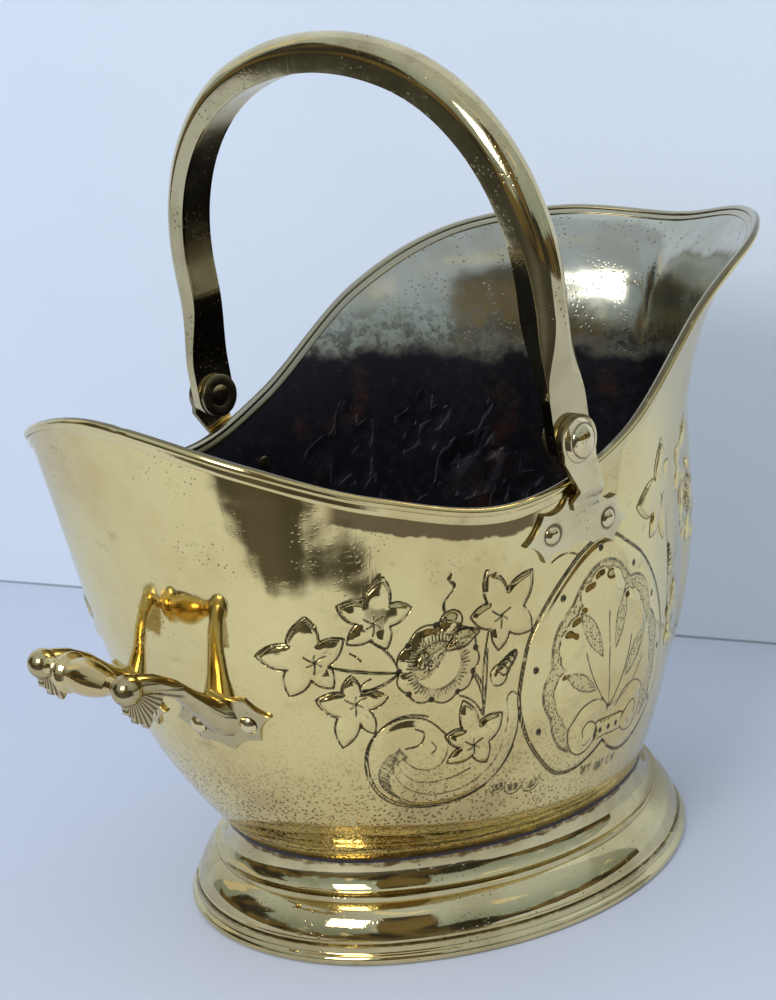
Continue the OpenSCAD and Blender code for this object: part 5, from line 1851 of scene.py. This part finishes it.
@dataclass
class Scuttle:
    """The whole scuttle, dressed piece by piece."""

    wall: HelmetWall = field(default_factory=HelmetWall)

    def build(self) -> None:
        """Builds every piece in order."""
        outside = ChasedBrass("body_brass", rough=0.06, wave=0.0006, wear=Wear.HANDLED).build()
        within = TarnishedBrass("inner_tarnish").build()
        bright = EdgingBrass("edging_brass", colour=(0.88, 0.72, 0.34), wave=0.0001,
                             rough=0.08).build()
        golden = SolderedBrass("foot_brass", colour=(0.76, 0.64, 0.34), deep=(0.46, 0.35, 0.15),
                               rough=0.035, wave=0.00018, wear=Wear.HANDLED).build()
        bail = Brass("bail_brass", colour=(0.74, 0.62, 0.34), deep=(0.44, 0.35, 0.17),
                     rough=0.07, wave=0.00012, wear=Wear.PITTED).build()
        lining = Brass("bail_lining", colour=(0.62, 0.52, 0.30), deep=(0.34, 0.26, 0.12),
                       rough=0.2, wave=0.00012, wear=Wear.PITTED).build()
        plate = PlateBrass("bracket_brass", colour=(0.85, 0.72, 0.39), deep=(0.58, 0.44, 0.19),
                           rough=0.14, wave=0.0001, wave_scale=70.0, wear=Wear.PITTED,
                           seats=((-0.0375, 0.20455), (-0.0005, 0.20455))).build()
        arm = HatchedBrass("arm_brass", colour=(0.66, 0.54, 0.28), deep=(0.40, 0.30, 0.13),
                           rough=0.14, wave=0.0001, wave_scale=70.0, wear=Wear.PITTED).build()
        # Dull brass for washers and the grip rod; on the brackets' narrow edges it is painted
        # shade.
        dull = Brass("dull_brass_and_edge_shade", colour=(0.30, 0.25, 0.14), deep=(0.12, 0.09, 0.05),
                     rough=0.26, wear=Wear.PITTED).build()
        dome = RingedBrass("pivot_brass", colour=(0.90, 0.76, 0.44), rough=0.08, wave=0.00004,
                           wave_scale=120.0, wear=Wear.HANDLED).build()
        rivet = Brass("rivet_brass", colour=(0.87, 0.73, 0.42), rough=0.12, wave=0.00004,
                      wave_scale=120.0, wear=Wear.HANDLED).build()
        grip = Brass("grip_brass", colour=(0.88, 0.70, 0.35), deep=(0.64, 0.46, 0.18), rough=0.10,
                     wave=0.00005, wave_scale=80.0, wear=Wear.HANDLED).build()
        Body(self.wall).build(outside, within)
        Edging(self.wall).build(bright)
        Foot(self.wall.oval).build(golden)
        Bail().build(bail, lining)
        fittings = CastFittings()
        for side in ("left", "right"):
            # The bracket's narrow edges wear the dull brass as painted shade.
            fittings.soften(f"bail_bracket_{side}", f"bracket_{side}", "fittings", plate, dull,
                            angle=40.0)
            fittings.soften(f"rear_arm_{side}", f"arm_{side}", "fittings", arm, angle=48.0)
            fittings.soften(f"pivot_rivet_{side}", f"pivot_head_{side}", "rivets", dome)
            fittings.soften(f"pivot_washer_{side}", f"washer_{side}", "fittings", dull)
            fittings.soften(f"bracket_rivets_{side}", f"small_rivets_{side}", "rivets", rivet)
            fittings.soften(f"handle_rivets_{side}", f"arm_rivets_{side}", "rivets", rivet)
        fittings.soften("rear_grip", "grip", "fittings", grip, angle=30.0)
        for node, material in (("bottom_plate", within), ("grip_rod", dull)):
            dress(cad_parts[node], material)
            LOG.info("%s: the frame's own solid, dressed", node)


def main() -> None:
    """Builds the camera, the scuttle and the stage."""
    logging.basicConfig(level=logging.INFO, format="%(name)s: %(message)s")
    bpy.context.scene.view_settings.view_transform = "Standard"
    PhotoCamera().place()
    Scuttle().build()
    Studio().build()


if __name__ == "__main__":
    main()
